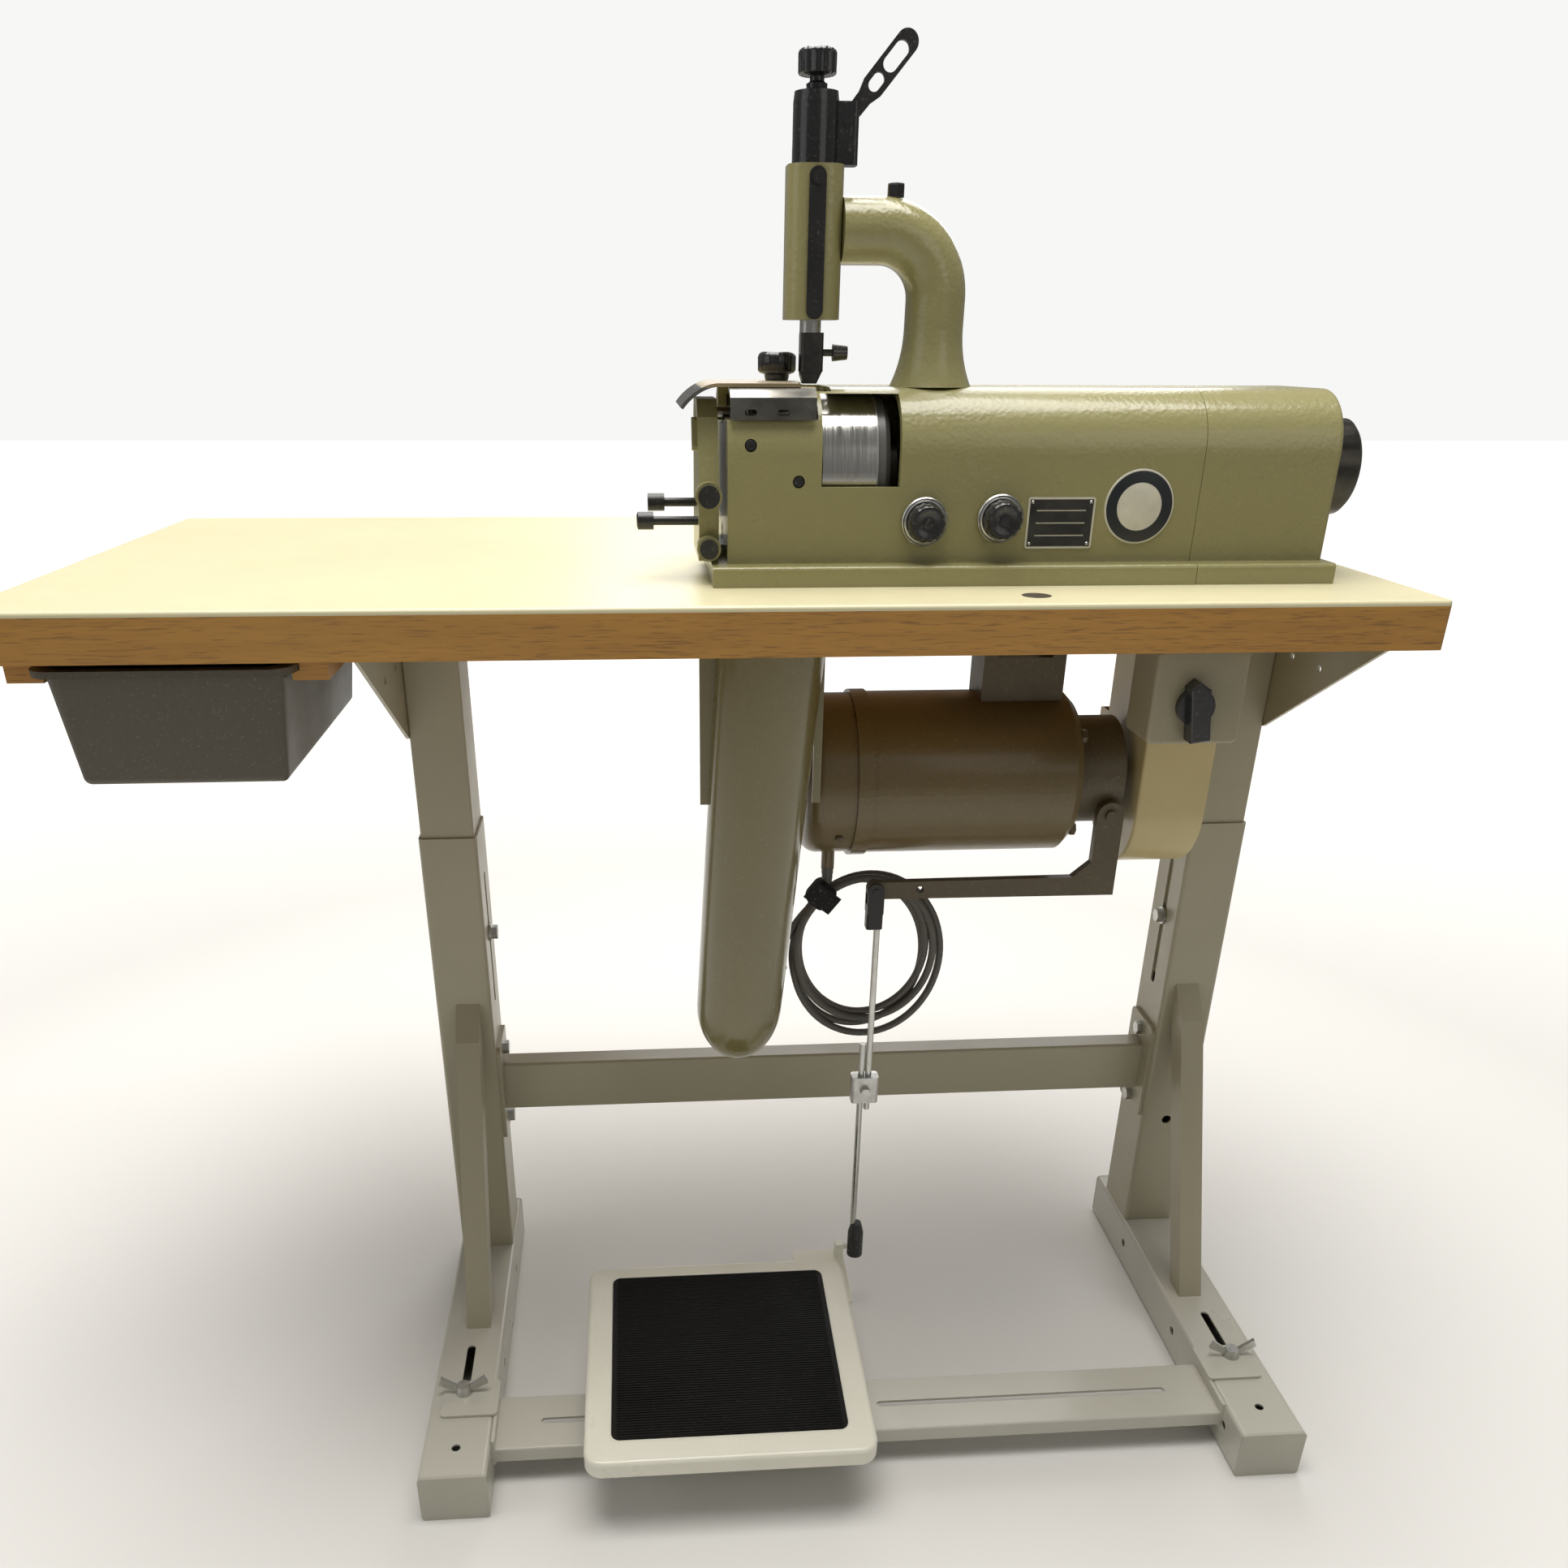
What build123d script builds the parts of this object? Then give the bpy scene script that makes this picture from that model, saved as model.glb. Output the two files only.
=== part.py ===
"""Leather-skiving machine: head, table, motor and treadle on a steel stand.

Millimetres, +Z up, +X to the operator's right, the operator sits at -Y.
The origin is on the floor, under the middle of the machine's box.
"""
import os
from math import atan2, cos, degrees, radians, sin

from build123d import *

os.makedirs("parts", exist_ok=True)

# ---------------------------------------------------------------- driving sizes
table_length = 1060.0
table_depth = 530.0
table_thickness = 36.0
table_height = 770.0            # floor to the working surface

treadle_reach = 384.0           # table's middle to the treadle's front edge
table_y = (treadle_reach - table_depth / 2) / 2     # table's middle line in this frame

foot_width = 60.0
foot_height = 50.0
foot_wall = 2.0
foot_left_x = -247.0
foot_right_x = 493.0
foot_front_y = table_y - 362.0
foot_rear_y = table_y + 47.0

slide_gap = 0.3                 # between surfaces that slide or swing past each other
shaft_gap = 0.05                # radial gap of a pin or shaft in its hole

sides = (("left", foot_left_x, 1), ("right", foot_right_x, -1))     # name, middle, inward direction


def front_plane(y):
    """Sketch plane that faces the operator: local x is X, local y is Z, thickness grows towards -Y."""
    return Plane.XZ.offset(-y)


def side_plane(x):
    """Sketch plane across the machine: local x is Y, local y is Z, thickness grows towards +X."""
    return Plane.YZ.offset(x)


def level(z):
    """Horizontal sketch plane at height z, thickness grows upwards."""
    return Plane.XY.offset(z)


# ---------------------------------------------------------------- feet
foot_corner = 4.0
cap_thickness = 3.0
bar_y = table_y - 290.0                         # treadle bar's middle
bar_width = 65.0
wing_y = bar_y + 28.0                           # wing bolt through saddle and foot
foot_slot_length = 84.0
foot_slot_width = 8.0
foot_slot_y = wing_y + 24.0
spare_hole_radius = 4.0
column_y = table_y - 7.0
side_hole_radius = 4.5
side_hole_ys = (column_y - 45.0, column_y - 190.0, bar_y - 36.0)

with BuildPart() as feet:
    for side, x, inward in sides:
        with BuildSketch(front_plane(foot_rear_y - cap_thickness)):
            with Locations((x, foot_height / 2)):
                RectangleRounded(foot_width, foot_height, foot_corner)
                RectangleRounded(foot_width - 2 * foot_wall, foot_height - 2 * foot_wall,
                                 foot_corner - foot_wall, mode=Mode.SUBTRACT)
        extrude(amount=foot_rear_y - foot_front_y - 2 * cap_thickness)
        with BuildSketch(level(foot_height)):
            with Locations((x, foot_slot_y)):
                SlotOverall(foot_slot_length, foot_slot_width, rotation=90)
            with Locations((x, bar_y - 5 - bar_width / 2)):
                Circle(spare_hole_radius)
        extrude(amount=-1.5 * foot_wall, mode=Mode.SUBTRACT)
        with BuildSketch(side_plane(x + inward * foot_width / 2)):
            with Locations(*[(y, foot_height * 0.55) for y in side_hole_ys]):
                Circle(side_hole_radius)
        extrude(amount=-inward * 1.5 * foot_wall, mode=Mode.SUBTRACT)
feet.part.label = "feet"
export_step(feet.part, "parts/feet.step")

with BuildPart() as foot_caps:
    for y in (foot_front_y + cap_thickness, foot_rear_y):
        with BuildSketch(front_plane(y)):
            with Locations((foot_left_x, foot_height / 2), (foot_right_x, foot_height / 2)):
                RectangleRounded(foot_width, foot_height, foot_corner)
        extrude(amount=cap_thickness)
foot_caps.part.label = "foot_caps"
export_step(foot_caps.part, "parts/foot_caps.step")

# ---------------------------------------------------------------- columns
column_width = 54.0
column_depth = 66.0
column_wall = 2.0
outer_top = table_height - 249.0
inner_bottom = outer_top - 176.0
bracket_plate = 3.0
core_bottom = table_height - table_thickness
inner_top = core_bottom - bracket_plate
column_corner = 4.0
height_bolt_z = outer_top - 110.0
height_bolt_radius = 4.0
height_slot_low = outer_top - 186.0
height_slot_high = outer_top - 46.0
height_slot_width = 2 * (height_bolt_radius + 0.6)
front_hole_z = 183.0
front_hole_radius = 5.0
inner_width = column_width - 2 * (column_wall + slide_gap)
inner_depth = column_depth - 2 * (column_wall + slide_gap)
washer_radius = 9.0
washer_thickness = 2.0
bolt_head_radius = 7.0
bolt_head_height = 6.0

with BuildPart() as outer_columns:
    for side, x, inward in sides:
        with BuildSketch(level(foot_height)):
            with Locations((x, column_y)):
                RectangleRounded(column_width, column_depth, column_corner)
                RectangleRounded(column_width - 2 * column_wall, column_depth - 2 * column_wall,
                                 column_corner - column_wall, mode=Mode.SUBTRACT)
        extrude(amount=outer_top - foot_height)
        with BuildSketch(side_plane(x + inward * column_width / 2)):
            with Locations((column_y, (height_slot_low + height_slot_high) / 2)):
                SlotOverall(height_slot_high - height_slot_low, height_slot_width, rotation=90)
        extrude(amount=-inward * 1.5 * column_wall, mode=Mode.SUBTRACT)
        with BuildSketch(front_plane(column_y - column_depth / 2)):
            with Locations((x, front_hole_z)):
                Circle(front_hole_radius)
        extrude(amount=-1.5 * column_wall, mode=Mode.SUBTRACT)
outer_columns.part.label = "outer_columns"
export_step(outer_columns.part, "parts/outer_columns.step")

# inner columns, each welded to a plate and a gusseted web under the table
bracket_reach = 205.0           # column's middle to each end of the plate
web_thickness = 3.0
web_low = outer_top + 95
with BuildPart() as table_supports:
    for side, x, inward in sides:
        with BuildSketch(level(inner_bottom)):
            with Locations((x, column_y)):
                RectangleRounded(inner_width, inner_depth, column_corner - column_wall)
                Rectangle(inner_width - 2 * column_wall, inner_depth - 2 * column_wall,
                          mode=Mode.SUBTRACT)
        extrude(amount=inner_top - inner_bottom)
        with BuildSketch(side_plane(x + inward * inner_width / 2)):
            with Locations((column_y, height_bolt_z)):
                Circle(height_bolt_radius + shaft_gap)
        extrude(amount=-inward * 1.5 * column_wall, mode=Mode.SUBTRACT)
        with BuildSketch(level(inner_top)):
            with Locations((x, column_y)):
                Rectangle(inner_width + 2 * web_thickness, 2 * bracket_reach)
            with Locations((x, column_y)):
                with GridLocations(30, 2 * bracket_reach - 40, 2, 2):
                    Circle(3, mode=Mode.SUBTRACT)
        extrude(amount=bracket_plate)
        with BuildSketch(side_plane(x - inward * inner_width / 2)):
            with BuildLine():
                Polyline((column_y - bracket_reach, inner_top), (column_y + bracket_reach, inner_top),
                         (column_y + bracket_reach, inner_top - 8),
                         (column_y + inner_depth / 2, web_low),
                         (column_y - inner_depth / 2, web_low),
                         (column_y - bracket_reach, inner_top - 8), close=True)
            make_face()
            with Locations((column_y - 60, inner_top - 44), (column_y - 110, inner_top - 44)):
                Circle(3.5, mode=Mode.SUBTRACT)
        extrude(amount=-inward * web_thickness)
table_supports.part.label = "table_supports"
export_step(table_supports.part, "parts/table_supports.step")

with BuildPart() as height_bolts:
    for side, x, inward in sides:
        seat = x + inward * (column_width / 2 + slide_gap)
        with BuildSketch(side_plane(seat)):
            with Locations((column_y, height_bolt_z)):
                Circle(washer_radius)
        extrude(amount=inward * washer_thickness)
        with BuildSketch(side_plane(seat + inward * washer_thickness)):
            with Locations((column_y, height_bolt_z)):
                RegularPolygon(bolt_head_radius, 6)
        extrude(amount=inward * bolt_head_height)
        with BuildSketch(side_plane(seat)):
            with Locations((column_y, height_bolt_z)):
                Circle(height_bolt_radius)
        extrude(amount=-inward * (column_wall + slide_gap + 3 * column_wall))
height_bolts.part.label = "height_bolts"
export_step(height_bolts.part, "parts/height_bolts.step")

# ---------------------------------------------------------------- slanted braces
brace_width = 23.0
brace_depth = 26.0              # measured along Y
brace_wall = 2.5
brace_top = outer_top - 173.0
brace_foot_y = table_y - 172.0
column_front_y = column_y - column_depth / 2

with BuildPart() as braces:
    for side, middle, inward in sides:
        x = middle + 4 * inward
        with BuildSketch(side_plane(x - brace_width / 2)):
            with BuildLine():
                Polyline((column_front_y, brace_top), (column_front_y - brace_depth, brace_top - 30),
                         (brace_foot_y, foot_height), (brace_foot_y + brace_depth, foot_height),
                         (column_front_y, brace_top - 32), close=True)
            make_face()
        extrude(amount=brace_width)
        with BuildSketch(side_plane(x - brace_width / 2 + brace_wall)):
            with BuildLine():
                Polyline((column_front_y + brace_wall, brace_top - 12),
                         (column_front_y - brace_depth + brace_wall, brace_top - 36),
                         (brace_foot_y + brace_wall, foot_height - 1),
                         (brace_foot_y + brace_depth + 5, foot_height - 1),
                         (column_front_y + brace_wall, brace_top - 40), close=True)
            make_face()
        extrude(amount=brace_width - 2 * brace_wall, mode=Mode.SUBTRACT)
braces.part.label = "braces"
export_step(braces.part, "parts/braces.step")

# ---------------------------------------------------------------- crossbar
crossbar_z = outer_top - 282.0
crossbar_height = 54.0
crossbar_depth = 25.0
crossbar_wall = 2.0
flange_thickness = 4.0
flange_height = 108.0
flange_width = 58.0
flange_bolt_z = flange_height / 2 - 13.0
flange_bolt_radius = 4.0
left_inner_face = foot_left_x + column_width / 2
right_inner_face = foot_right_x - column_width / 2

with BuildPart() as crossbar:
    with BuildSketch(side_plane(left_inner_face + flange_thickness)):
        with Locations((column_y, crossbar_z)):
            RectangleRounded(crossbar_depth, crossbar_height, 3)
            RectangleRounded(crossbar_depth - 2 * crossbar_wall, crossbar_height - 2 * crossbar_wall,
                             1.5, mode=Mode.SUBTRACT)
    extrude(amount=right_inner_face - left_inner_face - 2 * flange_thickness)
    for x, inward in ((left_inner_face, 1), (right_inner_face, -1)):
        with BuildSketch(side_plane(x)):
            with Locations((column_y, crossbar_z)):
                RectangleRounded(flange_width, flange_height, 6)
            with Locations((column_y, crossbar_z - flange_bolt_z), (column_y, crossbar_z + flange_bolt_z)):
                Circle(flange_bolt_radius + shaft_gap, mode=Mode.SUBTRACT)
        extrude(amount=inward * flange_thickness)
crossbar.part.label = "crossbar"
export_step(crossbar.part, "parts/crossbar.step")

# ---------------------------------------------------------------- treadle bar and saddles
bar_top = 40.0
bar_height = 16.0
bar_wall = 2.5
saddle_thickness = 3.0
tongue_length = 52.0
tongue_width = 44.0
bar_left = foot_left_x + foot_width / 2 + saddle_thickness
bar_right = foot_right_x - foot_width / 2 - saddle_thickness
bar_slot_width = 7.0
bar_slots = ((bar_left + 40, bar_left + 200), (bar_right - 42, bar_right - 320))

wing_radius = 3.0
wing_base_radius = 8.0
wing_span = 46.0

with BuildPart() as treadle_bar:
    with BuildSketch(side_plane(bar_left)):
        with Locations((bar_y, bar_top - bar_height / 2)):
            RectangleRounded(bar_width, bar_height, 2)
        with Locations((bar_y, bar_top - bar_wall - bar_height / 2)):
            Rectangle(bar_width - 2 * bar_wall, bar_height, mode=Mode.SUBTRACT)
    extrude(amount=bar_right - bar_left)
    with BuildSketch(level(bar_top)):
        for start, end in bar_slots:
            with Locations(((start + end) / 2, bar_y)):
                SlotOverall(abs(end - start), bar_slot_width)
    extrude(amount=-2 * bar_wall, mode=Mode.SUBTRACT)
    for side, x, inward in sides:
        inner_side = x + inward * foot_width / 2
        tongue_x = inner_side + inward * (saddle_thickness - tongue_length / 2)
        with BuildSketch(level(foot_height)):
            with Locations((tongue_x, wing_y - 8)):
                RectangleRounded(tongue_length, tongue_width, 4)
            with Locations((x, wing_y)):
                Circle(wing_radius + shaft_gap, mode=Mode.SUBTRACT)
        extrude(amount=saddle_thickness)
        with BuildSketch(side_plane(inner_side)):
            with Locations((bar_y, (foot_height + bar_top - bar_height - 2) / 2)):
                Rectangle(bar_width, foot_height - bar_top + bar_height + 2)
        extrude(amount=inward * saddle_thickness)
treadle_bar.part.label = "treadle_bar"
export_step(treadle_bar.part, "parts/treadle_bar.step")

with BuildPart() as stand_fasteners:
    for side, x, inward in sides:
        inner_face = x + inward * column_width / 2
        bolt_places = [(column_y, crossbar_z - flange_bolt_z), (column_y, crossbar_z + flange_bolt_z)]
        with BuildSketch(side_plane(inner_face)):
            with Locations(*bolt_places):
                Circle(flange_bolt_radius)
        extrude(amount=inward * flange_thickness)
        with BuildSketch(side_plane(inner_face + inward * flange_thickness)):
            with Locations(*bolt_places):
                RegularPolygon(bolt_head_radius, 6)
        extrude(amount=inward * bolt_head_height)
        seat = foot_height + saddle_thickness
        with BuildSketch(level(foot_height)):
            with Locations((x, wing_y)):
                Circle(wing_radius)
        extrude(amount=saddle_thickness)
        with BuildSketch(level(seat)):
            with Locations((x, wing_y)):
                Circle(wing_base_radius)
        extrude(amount=9, taper=12)
        with BuildSketch(front_plane(wing_y + 1.75)):
            with BuildLine():
                Polyline((x - 6, seat + 2), (x + 6, seat + 2), (x + wing_span / 2, seat + 11),
                         (x + wing_span / 2 - 3, seat + 19), (x + 5, seat + 8), (x - 5, seat + 8),
                         (x - wing_span / 2 + 3, seat + 19), (x - wing_span / 2, seat + 11), close=True)
            make_face()
        extrude(amount=3.5)
stand_fasteners.part.label = "stand_fasteners"
export_step(stand_fasteners.part, "parts/stand_fasteners.step")

# ---------------------------------------------------------------- treadle
treadle_x = -3.0
treadle_width = 256.0
treadle_front = 93.2            # pivot to front edge, along the tray
treadle_rear = 145.0            # pivot to rear edge, along the tray
treadle_tilt = 4.8              # degrees, rear edge higher
treadle_skirt = 20.0
treadle_wall = 2.5
pivot_z = 72.0
treadle_top = 16.0              # tray's top above the pivot
axle_radius = 4.0
lug_offset = 84.0
lug_thickness = 4.0
lug_radius = 9.0
bracket_offset = 74.0
bracket_thickness = 4.0
mat_recess = 2.0
mat_thickness = 3.5
mat_side = 24.0
mat_front = 25.0
mat_rear = 18.0

rod_x = 143.0
rod_y = table_y - 121.0
rod_radius = 3.0
rod_offset = 3.4                # each rod's distance from the pull line
boot_radius = 8.0
ball_z = 94.0
boot_bottom = 84.0
boot_top = 124.0
tip_z = core_bottom - 240.0
fork_bottom = tip_z - 37.0
fork_block_top = tip_z - 14.0
upper_rod_bottom = tip_z - 232.0
lower_rod_top = upper_rod_bottom + 73.0
lever_thickness = 8.0
fork_ear = 2.5
fork_gap = 0.4
clamp_bottom = upper_rod_bottom + 10.0
clamp_top = clamp_bottom + 28.0
tip_pin_radius = 3.0

tray_plane = Plane(origin=(treadle_x, bar_y, pivot_z), x_dir=(1, 0, 0),
                   z_dir=(0, -sin(radians(treadle_tilt)), cos(radians(treadle_tilt))))
tray_middle = (treadle_rear - treadle_front) / 2
tray_length = treadle_rear + treadle_front
mat_width = treadle_width - 2 * mat_side
mat_length = tray_length - mat_front - mat_rear
mat_middle = tray_middle + (mat_front - mat_rear) / 2

with BuildPart() as treadle:
    with BuildSketch(tray_plane.offset(treadle_top - treadle_skirt)):
        with Locations((0, tray_middle)):
            RectangleRounded(treadle_width, tray_length, 16)
    extrude(amount=treadle_skirt)
    fillet(treadle.faces().sort_by(Axis.Z)[-1].edges(), radius=4)
    with BuildSketch(tray_plane.offset(treadle_top - treadle_skirt)):
        with Locations((0, tray_middle)):
            RectangleRounded(treadle_width - 2 * treadle_wall, tray_length - 2 * treadle_wall, 13)
    extrude(amount=treadle_skirt - treadle_wall - mat_recess, mode=Mode.SUBTRACT)
    with BuildSketch(tray_plane.offset(treadle_top)):
        with Locations((0, mat_middle)):
            RectangleRounded(mat_width + 1, mat_length + 1, 8)
    extrude(amount=-mat_recess, mode=Mode.SUBTRACT)
    for direction in (-1, 1):
        with BuildSketch(side_plane(treadle_x + direction * lug_offset)):
            with Locations((bar_y, pivot_z)):
                Circle(lug_radius)
            with Locations((bar_y, pivot_z + 6)):
                Rectangle(2 * lug_radius, 12)
        extrude(amount=direction * lug_thickness)
    with BuildSketch(side_plane(treadle_x - treadle_width / 2)):
        with Locations((bar_y, pivot_z)):
            Circle(axle_radius + shaft_gap)
    extrude(amount=treadle_width, mode=Mode.SUBTRACT)
    with BuildSketch(tray_plane.offset(treadle_top - treadle_skirt - 2.5)):
        with Locations((105 - treadle_x, 140)):
            RectangleRounded(52, 76, 3)
    extrude(amount=3)
    with BuildSketch(level(ball_z - 13)):
        with Locations((rod_x - boot_radius - 9, rod_y)):
            Rectangle(8, 10)
    extrude(amount=18)
    with BuildSketch(side_plane(rod_x - boot_radius - 6)):
        with Locations((rod_y, ball_z)):
            Circle(3)
    extrude(amount=5.2)
treadle.part.label = "treadle"
export_step(treadle.part, "parts/treadle.step")

with BuildPart() as treadle_mat:
    with BuildSketch(tray_plane.offset(treadle_top - mat_recess)):
        with Locations((0, mat_middle)):
            RectangleRounded(mat_width, mat_length, 7.5)
    extrude(amount=mat_thickness)
treadle_mat.part.label = "treadle_mat"
export_step(treadle_mat.part, "parts/treadle_mat.step")

# two brackets on the bar with the fixed axle through them
with BuildPart() as pivot_brackets:
    for direction in (-1, 1):
        with BuildSketch(level(bar_top)):
            with Locations((treadle_x + direction * (bracket_offset - 10), bar_y)):
                Rectangle(24, 40)
        extrude(amount=bracket_thickness)
        with BuildSketch(side_plane(treadle_x + direction * (bracket_offset - 2))):
            with Locations((bar_y, (bar_top + pivot_z) / 2)):
                Rectangle(2 * lug_radius, pivot_z - bar_top)
            with Locations((bar_y, pivot_z)):
                Circle(lug_radius)
        extrude(amount=direction * bracket_thickness)
    with BuildSketch(side_plane(treadle_x - lug_offset - 14)):
        with Locations((bar_y, pivot_z)):
            Circle(axle_radius)
    extrude(amount=2 * lug_offset + 28)
pivot_brackets.part.label = "pivot_brackets"
export_step(pivot_brackets.part, "parts/pivot_brackets.step")

# ---------------------------------------------------------------- pull rod
with BuildPart() as lower_boot:
    with BuildSketch(level(boot_bottom)):
        with Locations((rod_x, rod_y)):
            Circle(boot_radius)
    extrude(amount=boot_top - boot_bottom - 12)
    with BuildSketch(level(boot_top - 12)):
        with Locations((rod_x, rod_y)):
            Circle(boot_radius)
    extrude(amount=12, taper=14)
lower_boot.part.label = "lower_boot"
export_step(lower_boot.part, "parts/lower_boot.step")

with BuildPart() as rod_lower:
    with BuildSketch(level(boot_top)):
        with Locations((rod_x - rod_offset, rod_y)):
            Circle(rod_radius)
    extrude(amount=lower_rod_top - boot_top)
rod_lower.part.label = "rod_lower"
export_step(rod_lower.part, "parts/rod_lower.step")

with BuildPart() as rod_clamp:
    with BuildSketch(level(clamp_bottom)):
        with Locations((rod_x, rod_y)):
            RectangleRounded(4 * rod_radius + 14, 2 * rod_radius + 8, 3)
        with Locations((rod_x - rod_offset, rod_y)):
            Circle(rod_radius + shaft_gap, mode=Mode.SUBTRACT)
        with Locations((rod_x + rod_offset, rod_y)):
            Circle(rod_radius, mode=Mode.SUBTRACT)
    extrude(amount=clamp_top - clamp_bottom)
    with BuildSketch(front_plane(rod_y - rod_radius - 4)):
        with Locations((rod_x, (clamp_bottom + clamp_top) / 2)):
            RegularPolygon(5, 6)
    extrude(amount=5)
rod_clamp.part.label = "rod_clamp"
export_step(rod_clamp.part, "parts/rod_clamp.step")

ear_inner = lever_thickness / 2 + fork_gap
with BuildPart() as rod_upper:
    with BuildSketch(level(upper_rod_bottom)):
        with Locations((rod_x + rod_offset, rod_y)):
            Circle(rod_radius)
    extrude(amount=fork_bottom - upper_rod_bottom)
    with BuildSketch(level(fork_bottom)):
        with Locations((rod_x, rod_y)):
            RectangleRounded(15, 2 * (ear_inner + fork_ear), 3)
    extrude(amount=fork_block_top - fork_bottom)
    for y in (rod_y - ear_inner, rod_y + ear_inner + fork_ear):
        with BuildSketch(front_plane(y)):
            with Locations((rod_x, (fork_block_top + tip_z) / 2 - 4)):
                Rectangle(15, tip_z - fork_block_top + 8)
            with Locations((rod_x, tip_z)):
                Circle(7.5)
        extrude(amount=fork_ear)
    with BuildSketch(front_plane(rod_y + ear_inner + fork_ear + 1)):
        with Locations((rod_x, tip_z)):
            Circle(tip_pin_radius)
    extrude(amount=2 * (ear_inner + fork_ear + 1))
rod_upper.part.label = "rod_upper"
export_step(rod_upper.part, "parts/rod_upper.step")

# ---------------------------------------------------------------- motor
motor_y = table_y - 70.0
motor_z = core_bottom - 146.0
motor_radius = 72.0
motor_wall = 5.0
bell_left = 76.0
bell_right = 120.0
motor_right = 318.0
clutch_right = 362.0
clutch_radius = 48.0
gland_x = 104.0
gland_y = table_y - 85.0
gland_bottom = motor_z - motor_radius - 12.0
band_width = 14.0
band_step = 2.0
motor_shaft_radius = 8.0
belt_x = 402.0
lever_pivot_x = 350.0
lever_pivot_z = motor_z - 27.0
lever_pin_radius = 5.0

with BuildPart() as motor_housing:
    with BuildSketch(Plane.XY.offset(motor_z)):
        with BuildLine():
            Polyline((bell_right, motor_y), (bell_right, motor_y - motor_radius - band_step),
                     (bell_right + band_width, motor_y - motor_radius - band_step),
                     (bell_right + band_width, motor_y - motor_radius),
                     (motor_right - 8, motor_y - motor_radius),
                     (motor_right, motor_y - motor_radius + 8), (motor_right, motor_y), close=True)
        make_face()
        with BuildLine():
            Polyline((bell_right, motor_y), (bell_right, motor_y - motor_radius + motor_wall),
                     (motor_right - motor_wall, motor_y - motor_radius + motor_wall),
                     (motor_right - motor_wall, motor_y), close=True)
        make_face(mode=Mode.SUBTRACT)
    revolve(axis=Axis((0, motor_y, motor_z), (1, 0, 0)))
    with BuildSketch(side_plane(motor_right - 2 * motor_wall)):
        with Locations((motor_y, motor_z)):
            Circle(motor_shaft_radius + 4)
    extrude(amount=3 * motor_wall, mode=Mode.SUBTRACT)
    with BuildSketch(side_plane(bell_right + 20)):
        with Locations((motor_y, motor_z)):
            Circle(motor_radius - motor_wall)
            Circle(38, mode=Mode.SUBTRACT)
    extrude(amount=100)
motor_housing.part.label = "motor_housing"
export_step(motor_housing.part, "parts/motor_housing.step")

with BuildPart() as motor_end_bell:
    with BuildSketch(side_plane(bell_left)):
        with Locations((motor_y, motor_z)):
            Circle(motor_radius - 1)
    extrude(amount=bell_right - bell_left)
    fillet(motor_end_bell.edges().sort_by(Axis.X)[0], radius=16)
    with BuildSketch(side_plane(bell_left + motor_wall)):
        with Locations((motor_y, motor_z)):
            Circle(motor_radius - 16)
    extrude(amount=bell_right - bell_left, mode=Mode.SUBTRACT)
    with BuildSketch(level(gland_bottom)):
        with Locations((gland_x, gland_y)):
            Circle(6)
    extrude(amount=motor_z - motor_radius + 8 - gland_bottom)
motor_end_bell.part.label = "motor_end_bell"
export_step(motor_end_bell.part, "parts/motor_end_bell.step")

with BuildPart() as clutch_housing:
    with BuildSketch(side_plane(motor_right)):
        with Locations((motor_y, motor_z)):
            Circle(clutch_radius)
            Circle(clutch_radius - 4, mode=Mode.SUBTRACT)
    extrude(amount=clutch_right - motor_right)
    with BuildSketch(side_plane(clutch_right - 4)):
        with Locations((motor_y, motor_z)):
            Circle(clutch_radius)
            Circle(motor_shaft_radius + 3, mode=Mode.SUBTRACT)
    extrude(amount=4)
    with BuildSketch(front_plane(motor_y - 30)):
        with Locations((lever_pivot_x, lever_pivot_z)):
            Circle(lever_pin_radius + 3)
    extrude(amount=motor_y - 30 - (rod_y + lever_thickness / 2) - slide_gap)
    with BuildSketch(front_plane(rod_y + lever_thickness / 2 + slide_gap)):
        with Locations((lever_pivot_x, lever_pivot_z)):
            Circle(lever_pin_radius)
    extrude(amount=lever_thickness + slide_gap + 3)
clutch_housing.part.label = "clutch_housing"
export_step(clutch_housing.part, "parts/clutch_housing.step")

lever_half = 9.0
lever_post_half = 12.0
with BuildPart() as clutch_lever:
    with BuildSketch(front_plane(rod_y + lever_thickness / 2)):
        with BuildLine():
            Polyline((rod_x, tip_z - 8), (lever_pivot_x + lever_post_half, tip_z - lever_half),
                     (lever_pivot_x + lever_post_half, lever_pivot_z),
                     (lever_pivot_x - lever_post_half, lever_pivot_z),
                     (lever_pivot_x - lever_post_half, tip_z + lever_half + 14),
                     (lever_pivot_x - lever_post_half - 16, tip_z + lever_half), (rod_x, tip_z + 8),
                     close=True)
        make_face()
        with Locations((rod_x, tip_z)):
            Circle(8)
            Circle(tip_pin_radius + shaft_gap, mode=Mode.SUBTRACT)
        with Locations((lever_pivot_x, lever_pivot_z)):
            Circle(lever_post_half)
            Circle(lever_pin_radius + shaft_gap, mode=Mode.SUBTRACT)
        with Locations((rod_x + 40, tip_z)):
            Circle(3.5, mode=Mode.SUBTRACT)
    extrude(amount=lever_thickness)
clutch_lever.part.label = "clutch_lever"
export_step(clutch_lever.part, "parts/clutch_lever.step")

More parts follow.
